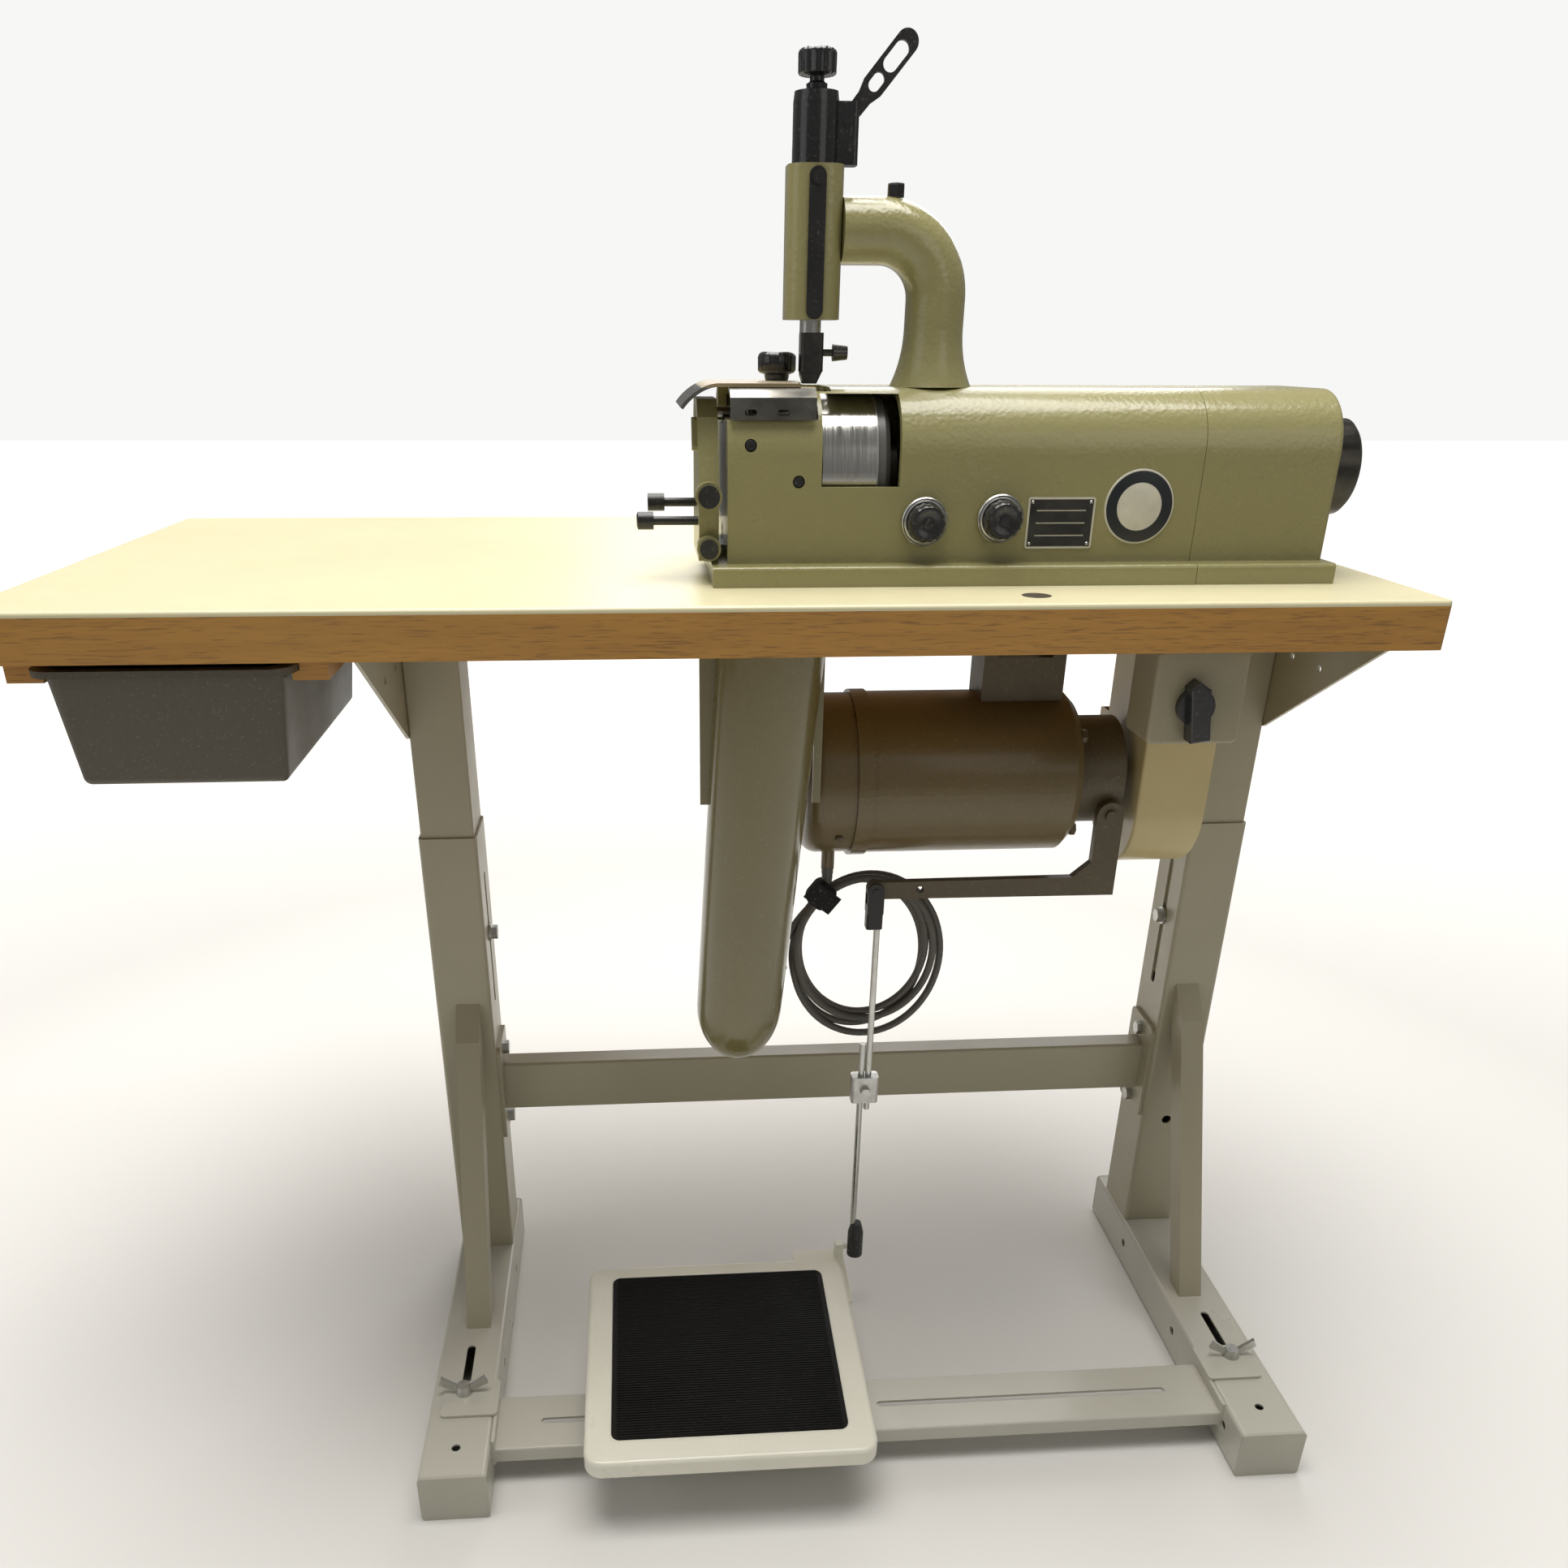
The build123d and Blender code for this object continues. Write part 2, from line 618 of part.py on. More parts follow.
# hanging bracket between the motor and the table's underside
bracket_left = 232.0
bracket_right = 304.0
with BuildPart() as motor_bracket:
    with BuildSketch(level(core_bottom - 6)):
        with Locations(((bracket_left + bracket_right) / 2, motor_y)):
            RectangleRounded(bracket_right - bracket_left + 24, 150, 8)
            with GridLocations(72, 120, 2, 2):
                Circle(5, mode=Mode.SUBTRACT)
    extrude(amount=6)
    with BuildSketch(side_plane(bracket_left)):
        with Locations((motor_y, (motor_z + core_bottom - 6) / 2)):
            Rectangle(44, core_bottom - 6 - motor_z)
        with Locations((motor_y, motor_z)):
            Circle(motor_radius, mode=Mode.SUBTRACT)
    extrude(amount=bracket_right - bracket_left)
    with BuildSketch(side_plane(bracket_left + 12)):
        with Locations((motor_y, core_bottom - 6 - 24)):
            Rectangle(60, 20)
    extrude(amount=bracket_right - bracket_left - 24, mode=Mode.SUBTRACT)
motor_bracket.part.label = "motor_bracket"
export_step(motor_bracket.part, "parts/motor_bracket.step")

motor_pulley_radius = 38.0
head_pulley_radius = 33.0
pulley_width = 24.0
belt_width = 9.0
belt_half = 3.0                 # half of the belt's thickness
groove_depth = 7.5
groove_width = belt_width + 1.6
spindle_y = table_y - 108.0
spindle_height = 78.0           # above the table
spindle_z = table_height + spindle_height
knife_radius = 54.0
knife_wall = 2.5
spindle_radius = 10.0

with BuildPart() as motor_shaft:
    with BuildSketch(side_plane(motor_right - 170)):
        with Locations((motor_y, motor_z)):
            Circle(motor_shaft_radius)
    extrude(amount=belt_x + pulley_width / 2 + 6 - motor_right + 170)
    with BuildSketch(side_plane(bell_right + 22)):
        with Locations((motor_y, motor_z)):
            Circle(37)
    extrude(amount=96)
motor_shaft.part.label = "motor_shaft"
export_step(motor_shaft.part, "parts/motor_shaft.step")


def pulley(middle, y, z, radius, bore):
    """V-groove pulley on the X axis through (y, z)."""
    with BuildPart() as wheel:
        with BuildSketch(side_plane(middle - pulley_width / 2)):
            with Locations((y, z)):
                Circle(radius)
        extrude(amount=pulley_width)
        with BuildSketch(Plane.XY.offset(z)):
            with BuildLine():
                Polyline((middle - groove_width / 2, y - radius + groove_depth),
                         (middle - groove_width / 2 - 2, y - radius - 1),
                         (middle + groove_width / 2 + 2, y - radius - 1),
                         (middle + groove_width / 2, y - radius + groove_depth), close=True)
            make_face()
        revolve(axis=Axis((0, y, z), (1, 0, 0)), mode=Mode.SUBTRACT)
        with BuildSketch(side_plane(middle - pulley_width)):
            with Locations((y, z)):
                Circle(bore)
        extrude(amount=2 * pulley_width, mode=Mode.SUBTRACT)
    return wheel


motor_pulley = pulley(belt_x, motor_y, motor_z, motor_pulley_radius, motor_shaft_radius)
motor_pulley.part.label = "motor_pulley"
export_step(motor_pulley.part, "parts/motor_pulley.step")
head_pulley = pulley(belt_x, spindle_y, spindle_z, head_pulley_radius, spindle_radius)
head_pulley.part.label = "head_pulley"
export_step(head_pulley.part, "parts/head_pulley.step")

motor_belt_inner = motor_pulley_radius - groove_depth + slide_gap
head_belt_inner = head_pulley_radius - groove_depth + slide_gap
with BuildPart() as drive_belt:
    for thickness, mode in ((2 * belt_half, Mode.ADD), (0, Mode.SUBTRACT)):
        with BuildSketch(side_plane(belt_x - belt_width / 2)):
            with Locations((motor_y, motor_z)):
                Circle(motor_belt_inner + thickness)
            with Locations((spindle_y, spindle_z)):
                Circle(head_belt_inner + thickness)
            make_hull()
        extrude(amount=belt_width, mode=mode)
drive_belt.part.label = "drive_belt"
export_step(drive_belt.part, "parts/drive_belt.step")

# ---------------------------------------------------------------- belt guard
guard_left = 372.0
guard_right = 434.0
guard_y = table_y - 65.0
guard_z = motor_z - 26.0
guard_radius = 62.0
guard_top = motor_z + 40.0
guard_wall = 2.5
duct_front = guard_y - 58.0
duct_rear = guard_y + 38.0

with BuildPart() as belt_guard:
    with BuildSketch(side_plane(guard_left)):
        with Locations((guard_y, guard_z)):
            Circle(guard_radius)
        with Locations((guard_y, (guard_z + guard_top) / 2)):
            Rectangle(2 * guard_radius, guard_top - guard_z)
    extrude(amount=guard_right - guard_left)
    fillet(belt_guard.faces().sort_by(Axis.X)[0].edges().filter_by(GeomType.CIRCLE), radius=3)
    with BuildSketch(side_plane(guard_left + guard_wall)):
        with Locations((guard_y, guard_z)):
            Circle(guard_radius - guard_wall)
        with Locations((guard_y, (guard_z + guard_top) / 2 + 2)):
            Rectangle(2 * (guard_radius - guard_wall), guard_top - guard_z + 4)
    extrude(amount=guard_right - guard_left - 2 * guard_wall, mode=Mode.SUBTRACT)
    with BuildSketch(side_plane(guard_left - 1)):
        with Locations((motor_y, motor_z)):
            Circle(motor_shaft_radius + 12)
    extrude(amount=2 * guard_wall, mode=Mode.SUBTRACT)
    with BuildSketch(level(guard_top)):
        with Locations(((guard_left + guard_right) / 2, (duct_front + duct_rear) / 2)):
            Rectangle(guard_right - guard_left, duct_rear - duct_front)
            Rectangle(guard_right - guard_left - 2 * guard_wall, duct_rear - duct_front - 2 * guard_wall,
                      mode=Mode.SUBTRACT)
        with Locations(((guard_left + guard_right) / 2, duct_front)):
            Rectangle(guard_right - guard_left - 2 * guard_wall, 4 * guard_wall, mode=Mode.SUBTRACT)
    extrude(amount=core_bottom - guard_top)
belt_guard.part.label = "belt_guard"
export_step(belt_guard.part, "parts/belt_guard.step")

# ---------------------------------------------------------------- table
laminate_thickness = 4.0
belt_slot_x = (belt_x - 26, belt_x + 26)
belt_slot_y = (table_y - 145, table_y - 42)
chute_hole_x = (0.0, 78.0)
chute_hole_y = (table_y - 160, table_y - 70)
plug_x = 229.0
plug_y = table_y - 231.0
plug_radius = 11.0
core_top = table_height - laminate_thickness


def table_cutouts():
    for (x0, x1), (y0, y1) in ((belt_slot_x, belt_slot_y), (chute_hole_x, chute_hole_y)):
        with Locations(((x0 + x1) / 2, (y0 + y1) / 2)):
            RectangleRounded(x1 - x0, y1 - y0, 8, mode=Mode.SUBTRACT)
    with Locations((plug_x, plug_y)):
        Circle(plug_radius, mode=Mode.SUBTRACT)


with BuildPart() as table_core:
    with BuildSketch(level(core_bottom)):
        with Locations((0, table_y)):
            RectangleRounded(table_length, table_depth, 5)
        table_cutouts()
    extrude(amount=core_top - core_bottom)
table_core.part.label = "table_core"
export_step(table_core.part, "parts/table_core.step")

with BuildPart() as table_laminate:
    with BuildSketch(level(core_top)):
        with Locations((0, table_y)):
            RectangleRounded(table_length, table_depth, 5)
    extrude(amount=laminate_thickness)
    fillet(table_laminate.faces().sort_by(Axis.Z)[-1].edges(), radius=3)
    with BuildSketch(level(core_top)):
        with Locations((0, table_y)):
            Rectangle(table_length + 10, table_depth + 10)
        table_cutouts()
    extrude(amount=laminate_thickness, mode=Mode.INTERSECT)
table_laminate.part.label = "table_laminate"
export_step(table_laminate.part, "parts/table_laminate.step")

with BuildPart() as cable_plug:
    with BuildSketch(level(core_bottom + 8)):
        with Locations((plug_x, plug_y)):
            Circle(plug_radius - slide_gap)
    extrude(amount=core_top + laminate_thickness - core_bottom - 8)
cable_plug.part.label = "cable_plug"
export_step(cable_plug.part, "parts/cable_plug.step")

# ---------------------------------------------------------------- drawer tray and its rails
tray_left = -485.0
tray_right = -317.0
tray_front = table_y - 250.0
tray_rear = table_y + 18.0
tray_top = core_bottom - 6.0
tray_bottom = tray_top - 88.0
tray_wall = 2.5
rim_overhang = 8.0
rim_thickness = 5.0
rail_width = 26.0
rail_gap = 0.6

with BuildPart() as drawer:
    with BuildSketch(level(tray_top - rim_thickness)):
        with Locations(((tray_left + tray_right) / 2, (tray_front + tray_rear) / 2)):
            RectangleRounded(tray_right - tray_left, tray_rear - tray_front, 14)
    extrude(amount=-(tray_top - rim_thickness - tray_bottom), taper=7)
    fillet(drawer.faces().sort_by(Axis.Z)[0].edges(), radius=6)
    with BuildSketch(level(tray_top - rim_thickness)):
        with Locations(((tray_left + tray_right) / 2, (tray_front + tray_rear) / 2)):
            RectangleRounded(tray_right - tray_left + 2 * rim_overhang,
                             tray_rear - tray_front + 2 * rim_overhang, 18)
    extrude(amount=rim_thickness)
    with BuildSketch(level(tray_top)):
        with Locations(((tray_left + tray_right) / 2, (tray_front + tray_rear) / 2)):
            RectangleRounded(tray_right - tray_left - 2 * tray_wall,
                             tray_rear - tray_front - 2 * tray_wall, 12)
    extrude(amount=-(tray_top - tray_bottom - tray_wall), taper=7, mode=Mode.SUBTRACT)
drawer.part.label = "drawer"
export_step(drawer.part, "parts/drawer.step")

with BuildPart() as drawer_rails:
    for edge, outward in ((tray_left - rim_overhang, -1), (tray_right + rim_overhang, 1)):
        low = tray_top - rim_thickness - rail_gap - 7
        with BuildSketch(front_plane(tray_rear + 10)):
            with Locations((edge + outward * (rail_width / 2 - 5), (low + core_bottom) / 2)):
                Rectangle(rail_width, core_bottom - low)
            with Locations((edge + outward * (rail_gap / 2 - 4), tray_top - rim_thickness / 2)):
                Rectangle(8 + rail_gap, rim_thickness + 2 * rail_gap, mode=Mode.SUBTRACT)
        extrude(amount=tray_rear + 10 - tray_front - 14)
drawer_rails.part.label = "drawer_rails"
export_step(drawer_rails.part, "parts/drawer_rails.step")

# ---------------------------------------------------------------- switch box
switch_left = 320.0
switch_right = 391.0
switch_bottom = core_bottom - 72.0
switch_front = table_y - 252.0
switch_depth = 46.0
switch_knob_x = 352.0
switch_knob_z = switch_bottom + 30.0
switch_knob_lean = 8.0          # degrees
switch_shaft_radius = 4.0

with BuildPart() as switch_box:
    with BuildSketch(front_plane(switch_front + switch_depth)):
        with Locations(((switch_left + switch_right) / 2, (switch_bottom + core_bottom) / 2)):
            RectangleRounded(switch_right - switch_left, core_bottom - switch_bottom, 5)
    extrude(amount=switch_depth)
    fillet(switch_box.faces().sort_by(Axis.Y)[0].edges(), radius=3)
    with BuildSketch(front_plane(switch_front + switch_depth)):
        with Locations(((switch_left + switch_right) / 2, (switch_bottom + core_bottom) / 2)):
            RectangleRounded(switch_right - switch_left - 6, core_bottom - switch_bottom - 6, 3)
    extrude(amount=switch_depth - 3, mode=Mode.SUBTRACT)
    with BuildSketch(front_plane(switch_front + switch_depth)):
        with Locations((switch_knob_x, switch_knob_z)):
            Circle(switch_shaft_radius + shaft_gap)
    extrude(amount=switch_depth + 1, mode=Mode.SUBTRACT)
switch_box.part.label = "switch_box"
export_step(switch_box.part, "parts/switch_box.step")

knob_plane = Plane(origin=(switch_knob_x, switch_front - slide_gap, switch_knob_z),
                   x_dir=(cos(radians(switch_knob_lean)), 0, sin(radians(switch_knob_lean))),
                   z_dir=(0, -1, 0))
with BuildPart() as switch_knob:
    with BuildSketch(knob_plane):
        Circle(14)
    extrude(amount=7)
    with BuildSketch(knob_plane):
        with BuildLine():
            Polyline((-7, 16), (0, 21), (8, 14), (8, -25), (-7, -25), close=True)
        make_face()
    extrude(amount=15)
    fillet(switch_knob.faces().sort_by(Axis.Y)[0].edges(), radius=1.5)
    with BuildSketch(knob_plane):
        Circle(switch_shaft_radius)
    extrude(amount=-12)
switch_knob.part.label = "switch_knob"
export_step(switch_knob.part, "parts/switch_knob.step")

# ---------------------------------------------------------------- scrap chute
chute_lean = 4.2                # degrees towards the left, going down
chute_top_x = 43.0
chute_y = table_y - 148.0
chute_top_radius = 44.0
chute_low_radius = 38.5         # where the rounded end begins
chute_length = 392.0
chute_dome = 54.0               # height of the rounded end
chute_wall = 2.0
chute_gap = 8.0                 # between the leaning tube's top and the table
chute_plane = Plane(origin=(chute_top_x, chute_y, core_bottom),
                    x_dir=(cos(radians(chute_lean)), 0, -sin(radians(chute_lean))), z_dir=(0, -1, 0))
chute_axis = Axis(chute_plane.origin, chute_plane.y_dir)


def chute_profile(inset, top):
    """Left half of the chute seen from the front, from its axis to its side and round the bottom."""
    low = chute_low_radius - inset
    dome_start = -chute_length + chute_dome
    bottom = -chute_length + inset
    with BuildLine(Plane.XY) as half:
        Polyline((0, bottom), (0, top), (-chute_top_radius + inset, top), (-low, dome_start))
        Bezier((-low, dome_start), (-low, dome_start - 0.55 * (dome_start - bottom)),
               (-0.55 * low, bottom), (0, bottom))
    return half.line.edges()


with BuildPart() as scrap_chute:
    with BuildSketch(chute_plane):
        make_face(chute_profile(0, -chute_gap))
    revolve(axis=chute_axis, revolution_arc=180)
    with BuildSketch(chute_plane):
        make_face(chute_profile(chute_wall, -chute_gap))
    revolve(axis=chute_axis, revolution_arc=180, mode=Mode.SUBTRACT)
    with BuildSketch(front_plane(chute_y + 2)):
        with Locations((chute_top_x - 8, core_bottom - 74)):
            Rectangle(2 * chute_top_radius + 14, 148)
        with Locations((chute_top_x, core_bottom - 60)):
            Rectangle(2 * chute_top_radius - 16, 180, mode=Mode.SUBTRACT)
    extrude(amount=chute_wall)
    with BuildSketch(level(core_bottom - 3)):
        with Locations((chute_top_x - chute_top_radius - 18, chute_y - 8)):
            Rectangle(28, 24)
            Circle(3, mode=Mode.SUBTRACT)
    extrude(amount=3)
scrap_chute.part.label = "scrap_chute"
export_step(scrap_chute.part, "parts/scrap_chute.step")

# ---------------------------------------------------------------- head: body casting
base_thickness = 15.0
base_left = -7.0
base_right = 475.0
body_front = spindle_y - knife_radius - 10.0
base_front = body_front - 18.0
base_rear = table_y + 8.0
body_left = 5.0
seam_x = 365.0
seam_gap = 0.4
cover_right = 472.0
body_rear = table_y - 10.0
body_height = spindle_height + knife_radius + 4.0
shoulder = 44.0
front_wall = 7.0
step_x = 72.0
step_height = body_height - 21.0
window_left = 75.0
window_right = 134.0
window_low = 69.0
knife_room = (12.0, 146.0)
gear_room = (186.0, 326.0)
bearing_radius = 24.0
deck = table_height

top_z = deck + body_height


def body_outline(inset):
    """Cross-section in Y and Z of the head: upright front, rounded shoulders, flat top."""
    r = shoulder - inset
    front = body_front + inset
    rear = body_rear - inset
    with BuildLine(Plane.XY) as outline:
        Polyline((rear, top_z - shoulder), (rear, deck), (front, deck), (front, top_z - shoulder))
        RadiusArc((front, top_z - shoulder), (body_front + shoulder, top_z - inset), r)
        Line((body_front + shoulder, top_z - inset), (body_rear - shoulder, top_z - inset))
        RadiusArc((body_rear - shoulder, top_z - inset), (rear, top_z - shoulder), r)
    return outline.line.edges()


knob_places = ((154.0, deck + 45.0), (212.0, deck + 47.0))
knob_shaft_radius = 4.0
knob_collar_radius = 17.5
knob_collar_height = 3.0
oil_holes = ((22.0, deck + 98.0, 4.5), (58.0, deck + 73.0, 4.5))
roller_shaft_radius = 5.0
roller_radius = 12.0
roller_z = spindle_z + knife_radius - knife_wall - 0.8 - roller_radius
grinder_radius = 18.0
grinder_z = deck + 31.0
grinder_shaft_radius = 6.0

with BuildPart() as machine_body:
    with BuildSketch(level(deck)):
        with Locations(((base_left + seam_x) / 2, (base_front + base_rear) / 2)):
            Rectangle(seam_x - base_left, base_rear - base_front)
    extrude(amount=base_thickness)
    fillet(machine_body.edges().filter_by(Axis.X).group_by(Axis.Z)[-1], radius=3)
    with BuildSketch(side_plane(body_left)):
        make_face(body_outline(0))
    extrude(amount=seam_x - body_left)
    for start, end in (knife_room, gear_room):
        with BuildSketch(side_plane(start)):
            make_face(body_outline(front_wall))
        extrude(amount=end - start, mode=Mode.SUBTRACT)
    with BuildSketch(side_plane(window_left)):
        with Locations((spindle_y, spindle_z)):
            Circle(knife_radius + 1.2)
    extrude(amount=knife_room[1] - window_left, mode=Mode.SUBTRACT)
    with BuildSketch(side_plane(knife_room[1] - 1)):
        with Locations((spindle_y, spindle_z)):
            Circle(bearing_radius)
    extrude(amount=seam_x - knife_room[1] + 2, mode=Mode.SUBTRACT)
    with BuildSketch(front_plane(spindle_y)):
        with BuildLine():
            Polyline((window_left, deck + window_low), (window_right, deck + window_low),
                     (window_right, top_z - 4), (window_left, top_z - 4), close=True)
        make_face()
    extrude(amount=spindle_y - body_front + 5, mode=Mode.SUBTRACT)
    with BuildSketch(level(deck + step_height)):
        with Locations(((base_left + step_x) / 2, (base_front + body_rear) / 2 - 20)):
            Rectangle(step_x - base_left, body_rear - base_front - 40)
    extrude(amount=body_height, mode=Mode.SUBTRACT)
    with BuildSketch(level(deck + step_height)):
        with Locations((step_x + 5, spindle_y)):
            Rectangle(14, 70)
    extrude(amount=body_height, mode=Mode.SUBTRACT)
    with BuildSketch(front_plane(body_front)):
        with Locations(*knob_places):
            Circle(knob_collar_radius)
    extrude(amount=knob_collar_height)
    with BuildSketch(front_plane(body_front - knob_collar_height - 1)):
        with Locations(*knob_places):
            Circle(knob_shaft_radius + shaft_gap)
    extrude(amount=-(knob_collar_height + 1 + 14), mode=Mode.SUBTRACT)
    for x, z, radius in oil_holes:
        with BuildSketch(front_plane(body_front)):
            with Locations((x, z)):
                Circle(radius)
        extrude(amount=-front_wall, mode=Mode.SUBTRACT)
    with BuildSketch(side_plane(body_left - 1)):
        with Locations((spindle_y, roller_z)):
            Circle(roller_shaft_radius + 3)
        with Locations((spindle_y, grinder_z)):
            Circle(grinder_shaft_radius + shaft_gap)
    extrude(amount=knife_room[0] - body_left + 2, mode=Mode.SUBTRACT)
machine_body.part.label = "machine_body"
export_step(machine_body.part, "parts/machine_body.step")

with BuildPart() as pulley_cover:
    with BuildSketch(level(deck)):
        with Locations(((seam_x + seam_gap + base_right) / 2, (base_front + base_rear) / 2)):
            Rectangle(base_right - seam_x - seam_gap, base_rear - base_front)
    extrude(amount=base_thickness)
    fillet(pulley_cover.edges().filter_by(Axis.X).group_by(Axis.Z)[-1], radius=3)
    with BuildSketch(side_plane(seam_x + seam_gap)):
        make_face(body_outline(0))
    extrude(amount=cover_right - seam_x - seam_gap)
    fillet(pulley_cover.faces().sort_by(Axis.Z)[-1].edges().sort_by(Axis.X)[-1], radius=4)
    with BuildSketch(side_plane(seam_x + seam_gap)):
        make_face(body_outline(5))
    extrude(amount=cover_right - seam_x - seam_gap - 6, mode=Mode.SUBTRACT)
    with BuildSketch(side_plane(cover_right - 8)):
        with Locations((spindle_y, spindle_z)):
            Circle(spindle_radius + 6)
    extrude(amount=20, mode=Mode.SUBTRACT)
pulley_cover.part.label = "pulley_cover"
export_step(pulley_cover.part, "parts/pulley_cover.step")

# ---------------------------------------------------------------- head: rotating parts
knife_left = 77.0
knife_right = 129.0
hub_radius = 22.0
nut_radius = 23.0
spindle_right = 502.0
wheel_left = 476.0
wheel_right = 505.0
wheel_radius = 36.0

with BuildPart() as bell_knife:
    with BuildSketch(Plane.XY.offset(spindle_z)):
        with BuildLine():
            Polyline((knife_left, spindle_y - knife_radius), (knife_right - 10, spindle_y - knife_radius),
                     (knife_right - 10, spindle_y - knife_radius + 1.5),
                     (knife_right - 4, spindle_y - knife_radius + 1.5),
                     (knife_right, spindle_y - knife_radius + 6), (knife_right, spindle_y - spindle_radius),
                     (knife_right - 14, spindle_y - spindle_radius),
                     (knife_right - 14, spindle_y - hub_radius), (knife_right - 8, spindle_y - hub_radius),
                     (knife_right - 8, spindle_y - knife_radius + knife_wall + 5),
                     (knife_right - 12, spindle_y - knife_radius + knife_wall),
                     (knife_left + 4, spindle_y - knife_radius + knife_wall),
                     (knife_left, spindle_y - knife_radius + 0.5), close=True)
        make_face()
    revolve(axis=Axis((0, spindle_y, spindle_z), (1, 0, 0)))
bell_knife.part.label = "bell_knife"
export_step(bell_knife.part, "parts/bell_knife.step")

# spindle with the nut that holds the knife
with BuildPart() as knife_spindle:
    with BuildSketch(side_plane(knife_right)):
        with Locations((spindle_y, spindle_z)):
            Circle(nut_radius)
    extrude(amount=10)
    with BuildSketch(side_plane(knife_right - 14)):
        with Locations((spindle_y, spindle_z)):
            Circle(spindle_radius)
    extrude(amount=spindle_right - knife_right + 14)
knife_spindle.part.label = "knife_spindle"
export_step(knife_spindle.part, "parts/knife_spindle.step")

with BuildPart() as spindle_bearings:
    for start, end in ((knife_room[1] + 2, knife_room[1] + 22), (gear_room[1] + 10, gear_room[1] + 30)):
        with BuildSketch(side_plane(start)):
            with Locations((spindle_y, spindle_z)):
                Circle(bearing_radius)
                Circle(spindle_radius + shaft_gap, mode=Mode.SUBTRACT)
        extrude(amount=end - start)
spindle_bearings.part.label = "spindle_bearings"
export_step(spindle_bearings.part, "parts/spindle_bearings.step")

with BuildPart() as handwheel:
    with BuildSketch(Plane.XY.offset(spindle_z)):
        with BuildLine():
            Polyline((wheel_left, spindle_y - spindle_radius), (wheel_left, spindle_y - wheel_radius + 8),
                     (wheel_left + 4, spindle_y - wheel_radius), (wheel_right - 3, spindle_y - wheel_radius),
                     (wheel_right, spindle_y - wheel_radius + 3), (wheel_right, spindle_y - wheel_radius + 9),
                     (wheel_right - 8, spindle_y - wheel_radius + 11), (wheel_right - 8, spindle_y - 18),
                     (wheel_right - 2, spindle_y - 16), (wheel_right - 2, spindle_y - spindle_radius),
                     close=True)
        make_face()
    revolve(axis=Axis((0, spindle_y, spindle_z), (1, 0, 0)))
handwheel.part.label = "handwheel"
export_step(handwheel.part, "parts/handwheel.step")

roller_left = 22.0
roller_right = 92.0
roller_shaft_left = -13.0
with BuildPart() as feed_roller:
    with BuildSketch(side_plane(roller_left)):
        with Locations((spindle_y, roller_z)):
            Circle(roller_radius)
    extrude(amount=roller_right - roller_left)
    fillet(feed_roller.edges().sort_by(Axis.X)[0], radius=2)
    with BuildSketch(side_plane(roller_shaft_left)):
        with Locations((spindle_y, roller_z)):
            Circle(roller_shaft_radius)
    extrude(amount=roller_left - roller_shaft_left)
feed_roller.part.label = "feed_roller"
export_step(feed_roller.part, "parts/feed_roller.step")

grinder_right = knife_left - 0.6
with BuildPart() as grinding_wheel:
    with BuildSketch(side_plane(grinder_right - 9)):
        with Locations((spindle_y, grinder_z)):
            Circle(grinder_radius)
    extrude(amount=9)
    with BuildSketch(side_plane(body_left + 1)):
        with Locations((spindle_y, grinder_z)):
            Circle(grinder_shaft_radius)
    extrude(amount=grinder_right - 9 - body_left - 1)
grinding_wheel.part.label = "grinding_wheel"
export_step(grinding_wheel.part, "parts/grinding_wheel.step")

# ---------------------------------------------------------------- head: front knobs and badges
front_knob_radius = 14.0
for label, (x, z) in zip(("knife_feed_knob", "grinder_knob"), knob_places):
    knob_seat = body_front - knob_collar_height - slide_gap
    with BuildPart() as front_knob:
        with BuildSketch(front_plane(knob_seat)):
            with Locations((x, z)):
                Circle(front_knob_radius)
        extrude(amount=15)
        chamfer(front_knob.faces().sort_by(Axis.Y)[0].edges(), length=3)
        with BuildSketch(front_plane(knob_seat)):
            with Locations((x, z)):
                Circle(knob_shaft_radius)
        extrude(amount=-12)
    front_knob.part.label = label
    export_step(front_knob.part, f"parts/{label}.step")

# ---------------------------------------------------------------- head: arm and presser housing
arm_base_x = 165.0
arm_bend_radius = 44.0
arm_axis_z = top_z + 103.0
arm_half = 22.0
arm_half_y = 25.0
presser_x = 71.3
presser_y = spindle_y
housing_width = 40.5
housing_bottom = top_z + 45.0
housing_top = top_z + 143.0
housing_right = presser_x + housing_width / 2
bar_radius = 8.0
flare_top = top_z + 40.0

